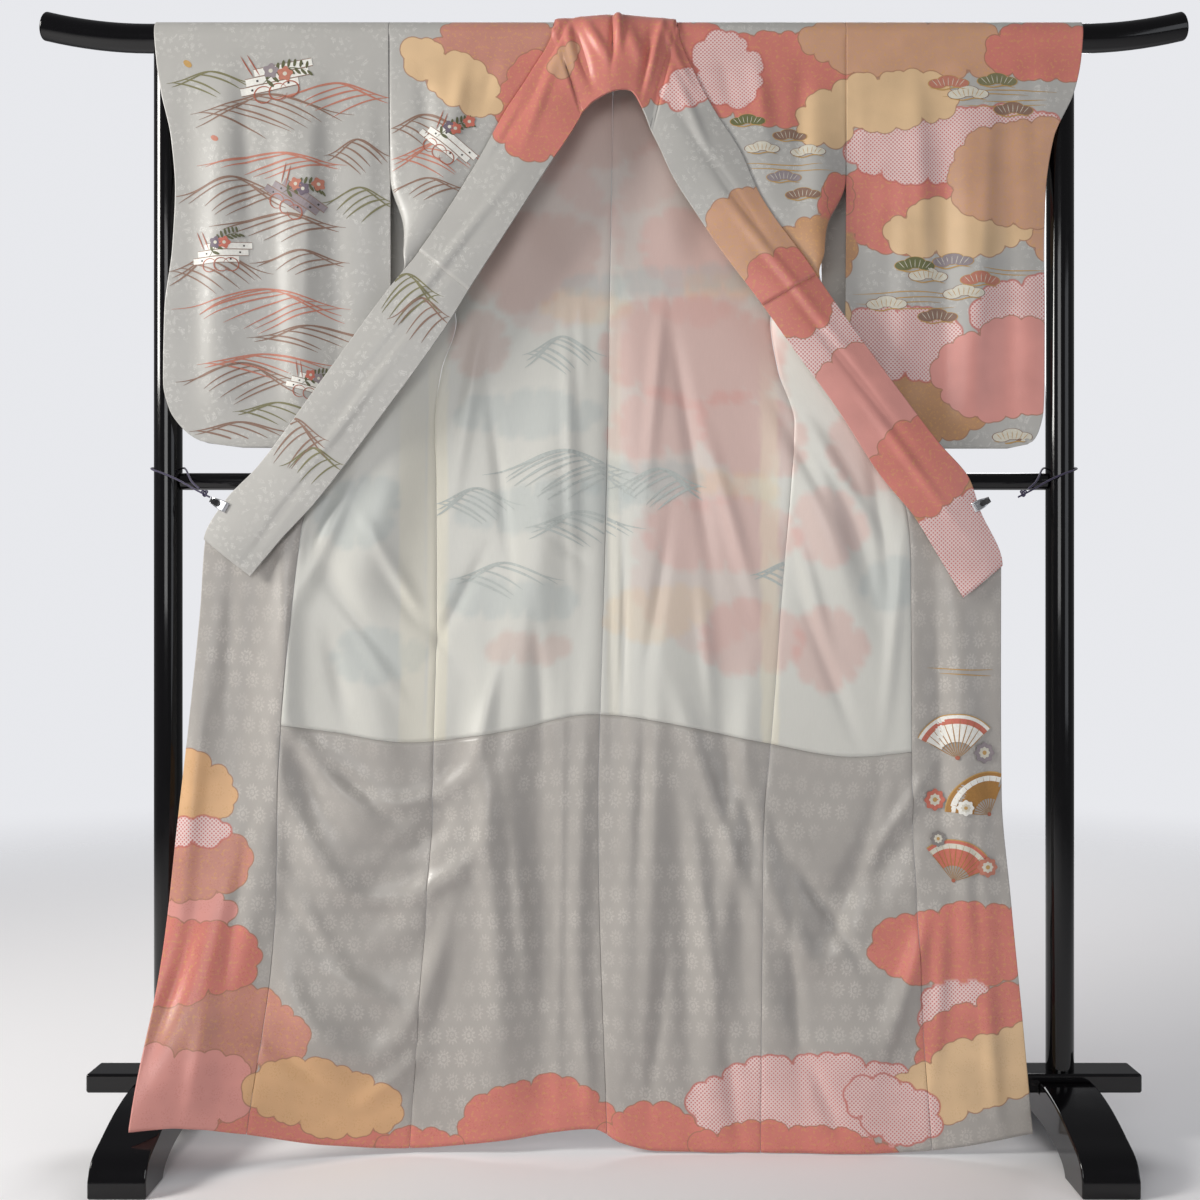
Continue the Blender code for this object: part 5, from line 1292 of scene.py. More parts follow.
def blot(centre, radius, colour, level=0, petals=0, swing=0.0, flat=1.0, lean=0.0, count=24):
    """Filled round shape: rings about a centre whose reach swings with the angle."""
    turn = 2 * np.pi * np.arange(count) / count
    reach = radius * (1 + swing * np.cos(petals * turn))
    ring = np.stack((reach * np.cos(turn), flat * reach * np.sin(turn)), -1)
    cos, sin = math.cos(math.radians(lean)), math.sin(math.radians(lean))
    ring = ring @ np.array(((cos, sin), (-sin, cos)))
    points = np.concatenate((((0.0, 0.0),), ring * 0.5, ring)) + centre
    here, then = 1 + np.arange(count), 1 + np.roll(np.arange(count), -1)
    faces = np.stack((0 * here, here, then), -1).tolist()
    faces += np.stack((here, here + count, then + count, then), -1).tolist()
    return Mark(points, faces, colour, level)


def sector(centre, inner, outer, start, end, colour, level=0, places=22):
    """Part of a ring between two radii and two angles in degrees."""
    turn = np.radians(np.linspace(start, end, places))[:, None]
    reach = np.linspace(inner, outer, 5)[None]
    points = np.stack((reach * np.cos(turn), reach * np.sin(turn)), -1).reshape(-1, 2) + centre
    return Mark(points, quads(places, 5).tolist(), colour, level)


def moved(marks, x, z, size=1.0, lean=0.0, level=0):
    """The same marks made larger or smaller, turned, and put in their place and on a level."""
    cos, sin = size * math.cos(math.radians(lean)), size * math.sin(math.radians(lean))
    turn = np.array(((cos, sin), (-sin, cos)))
    return [mark._replace(points=mark.points @ turn + (x, z), level=mark.level + level)
            for mark in marks]


def on_cloth(panel, flat):
    """Points and normals of a panel at places in x and z, and how far each was missed: the rest
    from the nearest grid point is solved as steps across and along the cloth."""
    rows, columns = panel.points.shape[:2]
    seen = panel.points[..., ::2].reshape(-1, 2)
    parts = np.array_split(flat, max(1, len(flat) // 300))
    nearest = np.concatenate([np.argmin((part[:, None, 0] - seen[None, :, 0]) ** 2
                                        + (part[:, None, 1] - seen[None, :, 1]) ** 2, axis=1)
                              for part in parts])
    across = np.gradient(panel.points, axis=1).reshape(-1, 3)[nearest][:, ::2]
    along = np.gradient(panel.points, axis=0).reshape(-1, 3)[nearest][:, ::2]
    rest = flat - seen[nearest]
    area = across[:, 0] * along[:, 1] - across[:, 1] * along[:, 0]
    area = np.where(np.abs(area) < 1e-12, 1e-12, area)
    step_across = (rest[:, 0] * along[:, 1] - rest[:, 1] * along[:, 0]) / area
    step_along = (across[:, 0] * rest[:, 1] - across[:, 1] * rest[:, 0]) / area
    row = np.clip(nearest // columns + np.clip(step_along, -1, 1), 0, rows - 1.001)
    column = np.clip(nearest % columns + np.clip(step_across, -1, 1), 0, columns - 1.001)
    low_row, low_column = row.astype(int), column.astype(int)
    s, t = (row - low_row)[:, None], (column - low_column)[:, None]
    both = np.concatenate((panel.points, panel.normals), -1)
    near = both[low_row, low_column] * (1 - t) + both[low_row, low_column + 1] * t
    far = both[low_row + 1, low_column] * (1 - t) + both[low_row + 1, low_column + 1] * t
    place = near * (1 - s) + far * s
    return place[:, :3], place[:, 3:], np.linalg.norm(place[:, :3:2] - flat, axis=1)


def lay_films(name, panel_name, out, marks):
    """One mesh of all marks on one panel, above its silk on the side that out gives."""
    panel = PANELS[panel_name]
    flat = np.concatenate([mark.points for mark in marks])
    starts = np.cumsum([0] + [len(mark.points) for mark in marks])
    place, normal, missed = on_cloth(panel, flat)
    level = np.concatenate([np.full(len(mark.points), mark.level) for mark in marks])
    wall = COLLAR_THICKNESS if panel_name == "collar" else SILK
    place = place + out * normal * (wall / 2 + FILM_CLEAR + FILM_LEVEL * level)[:, None]
    faces = [[corner + start for corner in face] for mark, start in zip(marks, starts)
             for face in mark.faces]
    faces = [face for face in faces if all(missed[corner] < LOST for corner in face)]
    used = np.unique([corner for face in faces for corner in face])
    new_number = np.zeros(len(flat), dtype=int)
    new_number[used] = np.arange(len(used))
    mesh = bpy.data.meshes.new(name)
    mesh.from_pydata(place[used].tolist(), [], [[int(new_number[c]) for c in f] for f in faces])
    ink = np.concatenate([np.tile(linear(INKS[mark.colour]), (len(mark.points), 1))
                          for mark in marks])[used]
    store(mesh, "ink", ink)
    item = show(name, mesh, dyed_film)
    give_wall(item, FILM)
    stand_for(item, None)
    print("  %-26s %5d faces of dye" % (name, len(faces)))


# %% [markdown]
# Waves in this style are a crest with lines that leave it one after another and spread apart as
# they fall. A raft is a few planks with rope loops, and a spray of leaves and flowers on it.
# %% Waves, rafts, pines and fans


def waves(band, draw, width=0.0024):
    """Lines of a band: a crest like a swell, and lines that leave it one after another along one
    slope, z0 + 0.35 c t - (0.58 h + 0.35 c) t^1.6 with the crest's climb c there, all about as
    long, so that they run side by side; a few more follow the crest's other slope."""
    count = int(band.lines)
    s = np.linspace(-1, 1, 41)
    crest = band.height * 0.52 * (np.exp(-((s + 0.05) / 0.62) ** 2) - 1)
    climb = np.gradient(crest, s)
    t = np.linspace(0, 1, 22)
    lines = [(s, crest)]
    for number in range(count):
        start = -0.90 + 0.78 * number / (count - 1)
        reach = 0.80 + 0.22 * draw.random()
        lift = 0.35 * np.interp(start, s, climb) * reach
        drop = (0.54 + 0.10 * draw.random()) * band.height
        low = np.interp(start, s, crest)
        lines.append((start + reach * t, low + lift * t - (drop + lift) * t ** 1.6))
    for number in range(1, count // 2):
        x = 0.10 - 0.14 * number - (0.95 - 0.10 * number) * t
        lines.append((x, np.interp(x, s, crest) - 0.17 * number * band.height * t ** 0.8))
    marks = []
    for x, z in lines:
        line = np.stack((band.x + band.face * x * band.width / 2, band.z + 0.4 * band.height + z), -1)
        marks.append(stroke(line, width * (0.8 + 0.4 * draw.random()), band.colour))
    return marks


def raft(plank_colour, flower_colours, spray):
    """A raft 90 mm wide at the origin: three planks with dark nail marks, rope loops, a stem with
    leaves in pairs and round flowers along it. spray turns the stem."""
    marks = []
    for number, (low, high) in enumerate(((-0.044, 0.026), (-0.036, 0.040), (-0.024, 0.046))):
        z = 0.0100 * (number - 1)
        edge = np.stack((np.linspace(low, high, 16), np.full(16, z)), -1)
        for half, colour, level in ((0.0052, "brown", 0), (0.0043, plank_colour, 1)):
            slab = np.stack((edge - (0, half), edge + (0, half)), 1).reshape(-1, 2)
            marks.append(Mark(slab, quads(16, 2).tolist(), colour, level))
        for x in (low + 0.014, high - 0.012):
            marks.append(blot((x, z), 0.0018, "dark", 2, count=4, lean=45))
    for x, turn in ((-0.018, 1.0), (0.014, -1.0), (0.000, 1.0)):
        t = np.linspace(0.2, 2 * np.pi - 0.4, 22)
        loop = np.stack((x + 0.011 * np.cos(t) * turn, -0.018 + 0.010 * np.sin(t)), -1)
        marks.append(stroke(loop, 0.0017, "rust", 2))
    for x in (-0.026, -0.018):
        marks.append(stroke(np.linspace((x, 0.006), (x - 0.010, 0.034), 8), 0.0017, "rust", 2))
    lean = math.radians(spray)
    t = np.linspace(0, 1, 9)
    stem = np.stack((-0.018 + 0.056 * t * math.cos(lean), -0.006 + 0.056 * t * math.sin(lean)
                     + 0.010 * np.sin(np.pi * t)), -1)
    marks.append(stroke(stem, 0.0014, "leaf", 3))
    for number, place in enumerate(stem[1:]):
        for side in (-1, 1):
            way = lean + side * 1.1
            middle = place + 0.0062 * np.array((math.cos(way), math.sin(way)))
            marks.append(blot(middle, 0.0060 - 0.0002 * number, "leaf", 3, flat=0.36,
                              lean=math.degrees(way), count=12))
    for number, colour in enumerate(flower_colours):
        place = stem[2 + 2 * number] + (0.002 * number, 0.006 * (-1) ** number)
        marks.append(blot(place, 0.0085, colour, 4, petals=5, swing=0.16, count=30))
        marks.append(blot(place, 0.0026, "pale", 5, count=10))
    return marks


def pine(colour):
    """A pine in side view, 46 mm wide: three low lobes on a flat foot, with a rim and needles."""
    lobes = ((-0.012, 0.0, 0.0105), (0.013, 0.0, 0.0100), (0.0, 0.0034, 0.0120))
    rim = "brown" if colour == "pale" else "gold"
    marks = [blot((x, z), size + more, fill, level, flat=0.52, count=20)
             for more, fill, level in ((0.0010, rim, 0), (0.0, colour, 1))
             for x, z, size in lobes]
    needles = "gold" if colour == "pale" else "pale"
    for number in range(7):
        x = -0.015 + 0.005 * number
        tip = (1.25 * x, 0.0070 - 12 * x * x)
        marks.append(stroke(np.linspace((x * 0.8, -0.003), tip, 5), 0.0007, needles, 2))
    foot = np.stack((np.linspace(-0.021, 0.021, 14),
                     -0.0062 + 0.0012 * np.cos(np.linspace(0, 9, 14))), -1)
    marks.append(stroke(foot, 0.0014, "gold", 2))
    return marks


def fan(leaf_colour, band_colour):
    """An open folding fan with its pivot at the origin: a paper leaf in two bands, eleven ribs."""
    marks = [sector((0, 0), 0.022, 0.058, 35, 145, leaf_colour, 0),
             sector((0, 0), 0.046, 0.053, 35, 145, band_colour, 1),
             sector((0, 0), 0.0575, 0.0590, 35, 145, "gold", 1)]
    for turn in np.radians(np.linspace(36, 144, 11)):
        way = np.array((math.cos(turn), math.sin(turn)))
        marks.append(stroke(np.linspace(0.002 * way, 0.052 * way, 8), 0.0011, "mustard", 2))
    marks.append(blot((0, 0.001), 0.0028, "rust", 3, count=12))
    return marks


def blossom(colour):
    """A round blossom, 26 mm across, with a ring and a pale heart."""
    return [blot((0, 0), 0.0130, colour, 0, petals=8, swing=0.10, count=48),
            blot((0, 0), 0.0072, "pale", 1, petals=8, swing=0.12, count=32),
            blot((0, 0), 0.0030, "gold", 2, count=12)]


SLEEVE_BANDS = table(BAND, """
    olive -562 1494 130 36 1 4, coral -392 1474 170 46 -1 5, brown -478 1452 230 60 1 7,
    coral -478 1378 210 36 -1 5, brown -356 1392 100 50 1 5, brown -536 1336 170 56 -1 6,
    olive -358 1326 110 46 -1 5, brown -470 1292 190 40 -1 5, brown -440 1242 140 34 -1 4,
    brown -552 1230 150 58 1 6, coral -494 1180 250 60 -1 7, brown -420 1138 190 36 1 5,
    coral -484 1100 200 34 1 5, brown -524 1078 180 56 -1 6, olive -470 1034 130 30 1 4,
    brown -520 1006 150 30 1 4
""")
SHOULDER_BANDS = table(BAND, """
    brown -262 1430 110 44 1 5, coral -240 1386 150 50 1 6, brown -262 1342 110 30 -1 4
""")
COLLAR_BANDS = table(BAND, """
    brown -170 1330 110 60 1 7, rust -150 1300 90 44 1 6, olive -290 1190 110 70 -1 6,
    brown -268 1160 90 60 -1 5, brown -446 990 110 70 -1 6, olive -416 956 90 50 -1 4
""")
LINING_BANDS = table(BAND, """
    faint -70 1118 120 56 1 6, faint -75 950 220 70 -1 8, faint -190 905 130 50 1 6,
    faint -40 872 170 50 1 6, faint 60 930 140 56 -1 6, faint -150 800 160 50 1 5,
    faint 250 805 120 40 1 5
""")
# colour and place of each pine; place and length of each gold line
SLEEVE_PINES = (
    ("coral", 0.468, 1.491), ("olive", 0.536, 1.494), ("pale", 0.495, 1.475), ("brown", 0.558, 1.453),
    ("pine", 0.421, 1.236), ("mauve", 0.474, 1.242), ("pale", 0.440, 1.222), ("coral", 0.513, 1.216),
    ("pale", 0.490, 1.198), ("pale", 0.382, 1.183), ("brown", 0.454, 1.166), ("pale", 0.561, 0.998),
)
SHOULDER_PINES = (
    ("pine", 0.186, 1.435), ("brown", 0.245, 1.415), ("pale", 0.206, 1.396),
    ("pale", 0.270, 1.392), ("mauve", 0.236, 1.355), ("brown", 0.262, 1.330),
)
BACK_PINES = (
    ("pale", 0.10, 0.30), ("pine", 0.22, 0.34), ("mauve", 0.06, 0.22), ("brown", 0.27, 0.25),
    ("coral", 0.15, 0.40), ("pine", 0.20, 1.30),
)
GOLD_LINES = (
    (0.545, 1.480, 0.150), (0.520, 1.474, 0.120), (0.560, 1.466, 0.090), (0.545, 1.459, 0.120),
    (0.410, 1.199, 0.150), (0.420, 1.192, 0.130), (0.400, 1.185, 0.120), (0.430, 1.178, 0.100),
    (0.560, 1.232, 0.090), (0.552, 1.226, 0.070),
)


def gold_lines(*lines):
    """Long thin lines with a slight swing."""
    marks = []
    for x, z, length in lines:
        along = np.linspace(-length / 2, length / 2, 24)
        way = np.stack((along + x, z + 0.0016 * np.sin(40 * along + 90 * z)), -1)
        marks.append(stroke(way, 0.0014, "gold"))
    return marks


draw = np.random.default_rng(41)
marks = [mark for band in SLEEVE_BANDS for mark in waves(band, draw)]
for x, z, size, lean, planks, blooms, spray in (
        (-0.474, 1.500, 1.18, 12, "white", ("mauve", "coral"), 8),
        (-0.446, 1.330, 0.98, -34, "mauve", ("coral", "plum", "coral"), 40),
        (-0.548, 1.252, 0.92, 3, "white", ("plum", "red"), 38),
        (-0.424, 1.072, 0.80, -14, "white", ("red", "mauve"), 30)):
    marks += moved(raft(planks, blooms, spray), x, z, size, lean, level=1)
marks += moved([blot((0, 0), 0.006, "coral", 0, flat=0.6, lean=-30, count=14)], -0.557, 1.412)
marks += moved([blot((0, 0), 0.007, "gold", 0, flat=0.6, lean=-40, count=14)], -0.598, 1.520)
lay_films("dye_sleeve_left", "sleeve_left_front", 1, marks)
marks = [mark for band in SHOULDER_BANDS for mark in waves(band, draw)]
marks += moved(raft("white", ("plum", "red", "red"), 66), -0.232, 1.404, 0.95, -40, level=1)
lay_films("dye_shoulder_left", "front_left", -1, marks)
marks = [mark for band in COLLAR_BANDS for mark in waves(band, draw)]
marks += moved(pine("coral"), 0.137, 1.368, 0.62, 35) + moved(pine("pine"), 0.150, 1.302, 0.62, 35)
lay_films("dye_collar", "collar", 1, marks)
for side in (LEFT, RIGHT):
    marks = [mark for band in LINING_BANDS for mark in waves(band, draw, 0.0034)]
    lay_films("shadow_lining_" + side, "back_lining_" + side, -SIGN[side], marks)
marks = gold_lines(*GOLD_LINES)
for colour, x, z in SLEEVE_PINES:
    marks += moved(pine(colour), x, z, 1.22, level=1)
lay_films("dye_sleeve_right", "sleeve_right_front", -1, marks)
marks = gold_lines((0.235, 1.374, 0.110), (0.245, 1.366, 0.120))
for colour, x, z in SHOULDER_PINES:
    marks += moved(pine(colour), x, z, 1.05, level=1)
lay_films("dye_shoulder_right", "front_right", 1, marks)

# %% [markdown]
# The right overlap carries the chief motif of a homongi. Open fans and blossoms are a common one,
# and are laid out here freely, in mustard, coral, white and grey, above the clouds of the hem.
# %% Fans
marks = []
for level, x, z, size, lean, leaf, band in ((0, 0.520, 0.470, 1.02, 32, "mustard", "white"),
                                            (5, 0.470, 0.378, 0.98, -16, "red", "pale"),
                                            (10, 0.476, 0.548, 1.05, 8, "white", "red")):
    marks += moved(fan(leaf, band), x, z, size, lean, level=level)
for x, z, size, colour in ((0.512, 0.556, 1.05, "mauve"), (0.446, 0.490, 1.10, "red"),
                           (0.516, 0.398, 1.00, "coral"), (0.450, 0.436, 0.80, "grey"),
                           (0.486, 0.480, 0.80, "white")):
    marks += moved(blossom(colour), x, z, size, level=15)
marks += gold_lines((0.480, 0.672, 0.090), (0.488, 0.664, 0.070))
lay_films("dye_okumi_right", "okumi_lining_right", -1, marks)
for side in (LEFT, RIGHT):
    # the waves that show through the lining are dyed on the outer silk of the back
    marks = [mark for band in LINING_BANDS for mark in waves(band._replace(colour="brown"), draw)]
    for colour, x, z in BACK_PINES:
        marks += moved(pine(colour), SIGN[side] * x, z)
    lay_films("dye_back_" + side, "back_" + side, SIGN[side], marks)

# %% [markdown]
# The rack is turned and planed wood under black lacquer, which is rubbed down and polished until
# it mirrors. Only smooth surfaces show that well, so its parts are made anew here on the lines of
# their solids: round bars as a circle carried along a path, the beam and feet as outlines.
# %% Lacquer
black_lacquer, tree, shader = new_material("polished_black_lacquer")
place = add(tree, "TexCoord").outputs["Object"]
brushed = add(tree, "TexNoise", {"Vector": place, "Scale": 45.0, "Detail": 3.0})
rubbed = add(tree, "MapRange", {"Value": brushed, "To Min": 0.07, "To Max": 0.16})
wavy = add(tree, "TexNoise", {"Vector": place, "Scale": 9.0, "Detail": 1.0})
bump = add(tree, "Bump", {"Strength": 0.06, "Distance": 0.002, "Height": wavy})
feed(shader, {"Base Color": linear("#060507"), "Coat Weight": 0.25, "Specular IOR Level": 0.35,
              "Coat Roughness": 0.06, "Roughness": rubbed, "Normal": bump})


def swept(path, section, guide=(0.0, 0.0, 1.0)):
    """A closed section carried along a path: at each point it lies square to the path's way, and
    its first axis is square to the guide. Returns a grid, one row per point."""
    way = np.gradient(path, axis=0)
    way /= np.linalg.norm(way, axis=1, keepdims=True)
    level = np.cross(guide, way)
    level /= np.linalg.norm(level, axis=1, keepdims=True)
    other = np.cross(way, level)
    return path[:, None] + level[:, None] * section[..., :1] + other[:, None] * section[..., 1:]


def circle(radius, count):
    """Points of a circle, turning from the first axis to the second."""
    turn = 2 * np.pi * np.arange(count) / count
    return radius * np.stack((np.cos(turn), np.sin(turn)), -1)


def tube_object(name, grid, finish, smooth_ends=True):
    """Mesh of a swept grid, closed round its profile and capped by one face at each end."""
    rows, columns = grid.shape[:2]
    ring = np.arange(rows - 1)[:, None] * columns
    here, then = np.arange(columns), np.roll(np.arange(columns), -1)
    faces = np.stack((ring + here, ring + then, ring + columns + then, ring + columns + here), -1)
    faces = faces.reshape(-1, 4).tolist()
    caps = [list(range(columns))[::-1], list(range((rows - 1) * columns, rows * columns))]
    mesh = bpy.data.meshes.new(name)
    mesh.from_pydata(grid.reshape(-1, 3).tolist(), [], faces + caps)
    smooth = np.ones(len(mesh.polygons), dtype=bool)
    smooth[-2:] = smooth_ends
    mesh.polygons.foreach_set("use_smooth", smooth)
    return show(name, mesh, finish)


def turned_bar(name, path, radius, turn_in, count):
    """Round bar, full along its path and rounded off by a quarter circle at each end over the
    length turn_in."""
    run = lengths(path)
    t = np.clip(np.minimum(run, run[-1] - run) / turn_in, 0, 1)
    size = radius - turn_in * (1 - np.sqrt(1 - (1 - t) ** 2))
    grid = swept(path, size[:, None, None] * circle(1.0, count))
    item = tube_object(name, grid, black_lacquer, smooth_ends=False)
    stand_for(item, name.replace("lacquer_", "rack_"))


def places_along(length, turn_in, middle):
    """Places from 0 to length: a few within turn_in of each end, evenly spread between."""
    end = turn_in * (1 - np.cos(np.linspace(0, np.pi / 2, 6)))
    return np.concatenate((end, np.linspace(turn_in, length - turn_in, middle)[1:-1],
                           length - end[::-1]))


# %% [markdown]
# The bar's ends curl up like the ridge of a temple gate. The posts run from the beam to the bar,
# whose round lies in their tops, and the rail goes through them.
# %% Bar, posts and rail
BAR_TURN_IN = 0.003
BAR_SIDES = 64
RAIL_TURN_IN = 0.0005
x = places_along(2 * BAR_HALF_LENGTH, BAR_TURN_IN, 90) - BAR_HALF_LENGTH
rise = np.clip((np.abs(x) - BAR_HALF_LENGTH + BAR_CURL_LENGTH) / BAR_CURL_LENGTH, 0, 1) ** 2
path = np.stack((x, 0 * x, BAR_Z + BAR_CURL_RISE * rise), -1)
turned_bar("lacquer_bar", path, BAR_RADIUS, BAR_TURN_IN, BAR_SIDES)
rail_half = POST_X - POST_RADIUS
x = places_along(2 * rail_half, RAIL_TURN_IN, 30) - rail_half
turned_bar("lacquer_rail", np.stack((x, 0 * x, RAIL_Z + 0 * x), -1), RAIL_RADIUS, RAIL_TURN_IN, 40)
for side in (LEFT, RIGHT):
    foot, head = BEAM_TOP + WOOD_GAP, BAR_Z - BAR_RADIUS - WOOD_GAP
    z = foot + places_along(head - foot, 0.0008, 60)
    path = np.stack((SIGN[side] * POST_X + 0 * z, 0 * z, z), -1)
    grid = swept(path, circle(POST_RADIUS, 48), guide=(0.0, 1.0, 0.0))
    # the top row rises round the bar: its height is where the post's circle meets the bar's
    across = grid[-1, :, 1]
    grid[-1, :, 2] = BAR_Z - np.sqrt((BAR_RADIUS + WOOD_GAP) ** 2 - np.minimum(
        np.abs(across), POST_SADDLE) ** 2)
    post = tube_object("lacquer_post_" + side, grid, black_lacquer, smooth_ends=False)
    stand_for(post, "rack_post_" + side)
print("bar %.3f m long, posts to z = %.3f" % (2 * BAR_HALF_LENGTH, BAR_Z - BAR_RADIUS))

# %% [markdown]
# The beam and the arched feet are planks whose edges are eased by hand before they are lacquered.
# An outline is drawn in depth and height and extruded, and a Bevel modifier eases its edges.
# %% Beam and feet
FOOT_CORNERS = 28
BEAM_EASE, FOOT_EASE = 0.004, 0.0028


def plank(name, outline, low, high, width):
    """Outline in depth and height extruded along x from low to high, its edges eased."""
    count = len(outline)
    points = [(x, y, z) for x in (low, high) for y, z in outline]
    faces = [(i, (i + 1) % count, count + (i + 1) % count, count + i) for i in range(count)]
    mesh = bpy.data.meshes.new(name)
    mesh.from_pydata(points, [], faces + [list(range(count))[::-1], list(range(count, 2 * count))])
    mesh.polygons.foreach_set("use_smooth", np.ones(len(mesh.polygons), dtype=bool))
    item = show(name, mesh, black_lacquer)
    edge = item.modifiers.new("eased", "BEVEL")
    edge.width, edge.segments, edge.harden_normals = width, 4, True
    edge.limit_method = "ANGLE"
    edge.angle_limit = math.radians(40)
    stand_for(item, name.replace("lacquer_", "rack_"))


half = BEAM_DEPTH / 2
plank("lacquer_beam", [(-half, BEAM_BOTTOM), (half, BEAM_BOTTOM), (half, BEAM_TOP), (-half, BEAM_TOP)],
      -BEAM_HALF_LENGTH, BEAM_HALF_LENGTH, BEAM_EASE)
reach = np.linspace(FOOT_TOP[0].reach, FOOT_TOP[-1].reach, FOOT_CORNERS)
top = np.stack((-reach, profile(FOOT_TOP, "z", reach)), -1)
half_notch = half + FOOT_NOTCH
notch = np.array(((-half_notch, FOOT_TOP[-1].z), (-half_notch, BEAM_BOTTOM - WOOD_GAP)))
front = np.concatenate((((-FOOT_REACH, 0.0),), top, notch))
turn = np.linspace(0, np.pi, FOOT_CORNERS)
arch = np.stack(((FOOT_REACH - FOOT_PAD) * np.cos(turn), FOOT_ARCH_HEIGHT * np.sin(turn)), -1)
outline = np.concatenate((front, front[::-1] * (-1, 1), arch))[::-1]
for side in (LEFT, RIGHT):
    middle = SIGN[side] * POST_X
    plank("lacquer_foot_" + side, outline.tolist(), middle - FOOT_WIDTH / 2,
          middle + FOOT_WIDTH / 2, FOOT_EASE)
print("beam %.2f m, feet %.2f m deep" % (2 * BEAM_HALF_LENGTH, 2 * FOOT_REACH))

# %% [markdown]
# Small spring clips hold the collar's edges out, and a dark cord leads from each to the post. The
# clip is bent from one plated strip, with a thumb lever of dark enamel; chrome mirrors the room,
# so the metal needs hardly any colour of its own.
# %% Clips
chrome, tree, shader = new_material("chrome_plated_steel")
place = add(tree, "TexCoord").outputs["Object"]
scratches = add(tree, "TexNoise", {"Vector": place, "Scale": 420.0, "Detail": 2.0})
worn = add(tree, "MapRange", {"Value": scratches, "To Min": 0.14, "To Max": 0.30})
feed(shader, {"Base Color": linear("#D2D3D6"), "Metallic": 1.0, "Roughness": worn})
enamel, tree, shader = new_material("dark_enamel")
place = add(tree, "TexCoord").outputs["Object"]
pits = add(tree, "TexNoise", {"Vector": place, "Scale": 300.0})
dull = add(tree, "MapRange", {"Value": pits, "To Min": 0.25, "To Max": 0.42})
feed(shader, {"Base Color": linear("#1B1A1E"), "Coat Weight": 0.4, "Roughness": dull})
CLIP_ROWS = 13
LEVER_LENGTH = 0.013
LEVER_LIFT = 0.0052
LEVER_WALL = 0.0011
lean = math.radians(CLIP_LEAN)


def clip_place(side, edge, middle, along, depth, across):
    """World place of a clip's point: along its leaning axis, across it, and in depth."""
    x = edge[0] + SIGN[side] * (along * math.cos(lean) - across * math.sin(lean))
    z = CLIP_HEIGHT + along * math.sin(lean) + across * math.cos(lean)
    return np.stack(np.broadcast_arrays(x, middle + depth, z), -1)


for side in (LEFT, RIGHT):
    edge = front_surface(side, 1.0, QUARTER_TURN + BAR_Z - CLIP_HEIGHT)
    back = edge[1] + SOLID_WALL / 2 + SEAM + CLIP_METAL / 2
    front = edge[1] - (SOLID_COLLAR - SOLID_WALL) / 2 - COLLAR_SEAM_LIFT - SOLID_COLLAR / 2 - SEAM
    front -= CLIP_METAL / 2 + CLIP_PLAY
    middle, half = (back + front) / 2, (back - front) / 2
    eye, flare = CLIP_LENGTH - CLIP_BITE, half + CLIP_FLARE
    turn = np.linspace(0, np.pi, 24)
    along = np.concatenate(((-CLIP_BITE, -CLIP_BITE / 2, 0.0),
                            CLIP_NECK + (eye - CLIP_NECK) * np.sin(turn),
                            (0.0, -CLIP_BITE / 2, -CLIP_BITE)))
    depth = np.concatenate(((half, half + CLIP_FLARE * 0.3, flare), flare * np.cos(turn),
                            (-flare, -half - CLIP_FLARE * 0.3, -half)))
    across = np.linspace(-CLIP_WIDTH / 2, CLIP_WIDTH / 2, CLIP_ROWS)[:, None]
    # the strip narrows towards its closed end
    taper = 1 - 0.42 * ease(0.0, eye, along)
    strip = clip_place(side, edge, middle, along[None], depth[None], across * taper)
    clip = grid_object("clip_strip_" + side, strip, chrome)
    give_wall(clip, CLIP_METAL)
    stand_for(clip, "clip_" + side)
    # the lever: a small rounded tongue that stands off the front jaw
    t = np.linspace(0, 1, 18)[None]
    wide = 0.0042 * np.sqrt(np.clip(1 - (2 * t - 1) ** 4, 0.02, 1))
    rise = -flare - 0.0012 - LEVER_LIFT * t * t
    tongue = clip_place(side, edge, middle, 0.001 + LEVER_LENGTH * t, rise,
                        np.linspace(-1, 1, 9)[:, None] * wide)
    lever = grid_object("clip_lever_" + side, tongue, enamel)
    give_wall(lever, LEVER_WALL)
    stand_for(lever, None)
print("clips bite at z = %.3f" % CLIP_HEIGHT)

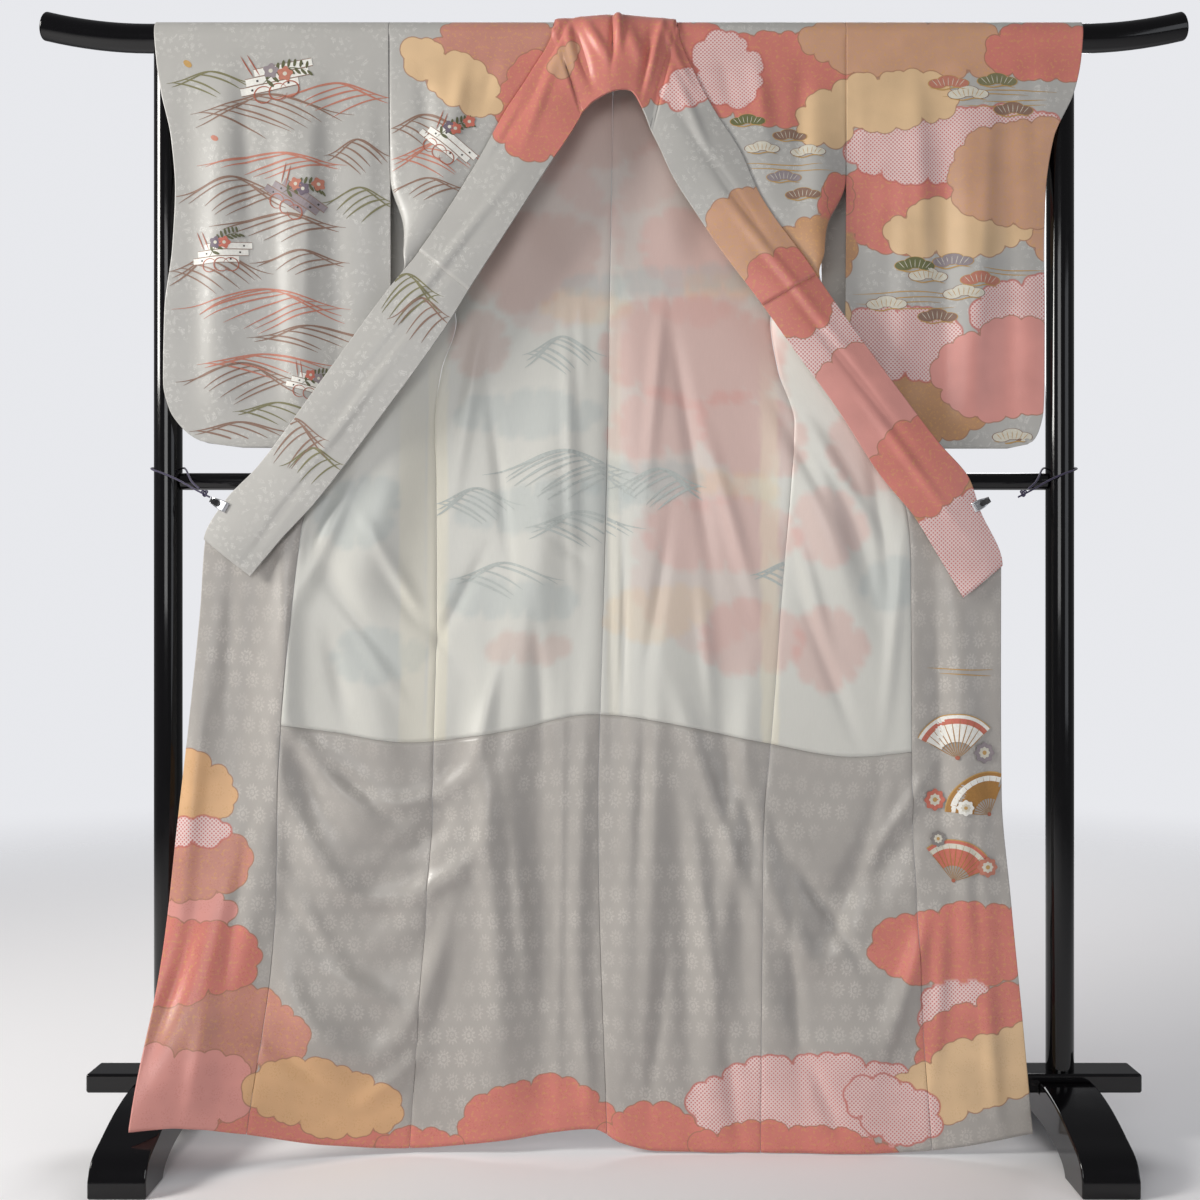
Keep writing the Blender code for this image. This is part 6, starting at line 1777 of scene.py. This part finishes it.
# %% [markdown]
# Each tie is a thin twisted cord, taut from the clip round the post and back to a knot. It is a
# tube whose section has three lobes that turn along the way, so the strands show as a fine spiral.
# %% Ties
purple_cord, tree, shader = new_material("twisted_purple_cord")
place = add(tree, "TexCoord").outputs["Object"]
fuzz = add(tree, "TexNoise", {"Vector": place, "Scale": 1400.0, "Detail": 2.0})
tone = add(tree, "Mix", {"Factor": fuzz, "A": linear("#1C1730"), "B": linear("#3A2E5A")},
           data_type="RGBA")
feed(shader, {"Base Color": tone, "Roughness": 0.72, "Sheen Weight": 0.4})
STRANDS = 3
TWIST = 0.009              # length of one turn
TIE_STEPS_FINE = 16
CORD_SIDES = 15


def twisted_cord(name, path, radius):
    """Tube whose radius swings with the angle by the number of strands, and whose angle turns
    once in every TWIST of length."""
    turn = 2 * np.pi * (np.arange(CORD_SIDES)[None] / CORD_SIDES - lengths(path)[:, None] / TWIST)
    size = radius * (1 + 0.14 * np.cos(STRANDS * turn))
    grid = swept(path, size[..., None] * circle(1.0, CORD_SIDES))
    return tube_object(name, grid, purple_cord)


for side in (LEFT, RIGHT):
    route = TIE_ROUTE * (SIGN[side], 1, 1)
    tie = twisted_cord("cord_" + side, through_points(route, TIE_STEPS_FINE), TIE_RADIUS)
    stand_for(tie, "tie_" + side)
    # the knot: three crossing loops drawn tight, a torus knot 9 mm across
    t = np.linspace(0, 2 * np.pi, 91)[:-1]
    loop = np.stack((np.sin(t) + 2 * np.sin(2 * t), np.sin(3 * t) * 0.9,
                     np.cos(t) - 2 * np.cos(2 * t)), -1) * 0.00150
    loop = loop + (TIE_ROUTE[0] + TIE_ROUTE[-1]) / 2
    knot = twisted_cord("knot_" + side, np.concatenate((loop, loop[:1])) * (SIGN[side], 1, 1),
                        TIE_RADIUS * 0.85)
    stand_for(knot, None)
print("ties: cord %.1f mm thick" % (2000 * TIE_RADIUS))

# %% [markdown]
# The last cell prints the bounds of the solids and of the dressed part, side by side.
# %% Sizes
for node, lines in (("cad", cad_bounds), ("visual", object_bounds())):
    print(node, [[round(float(value), 4) for value in corner] for corner in lines])
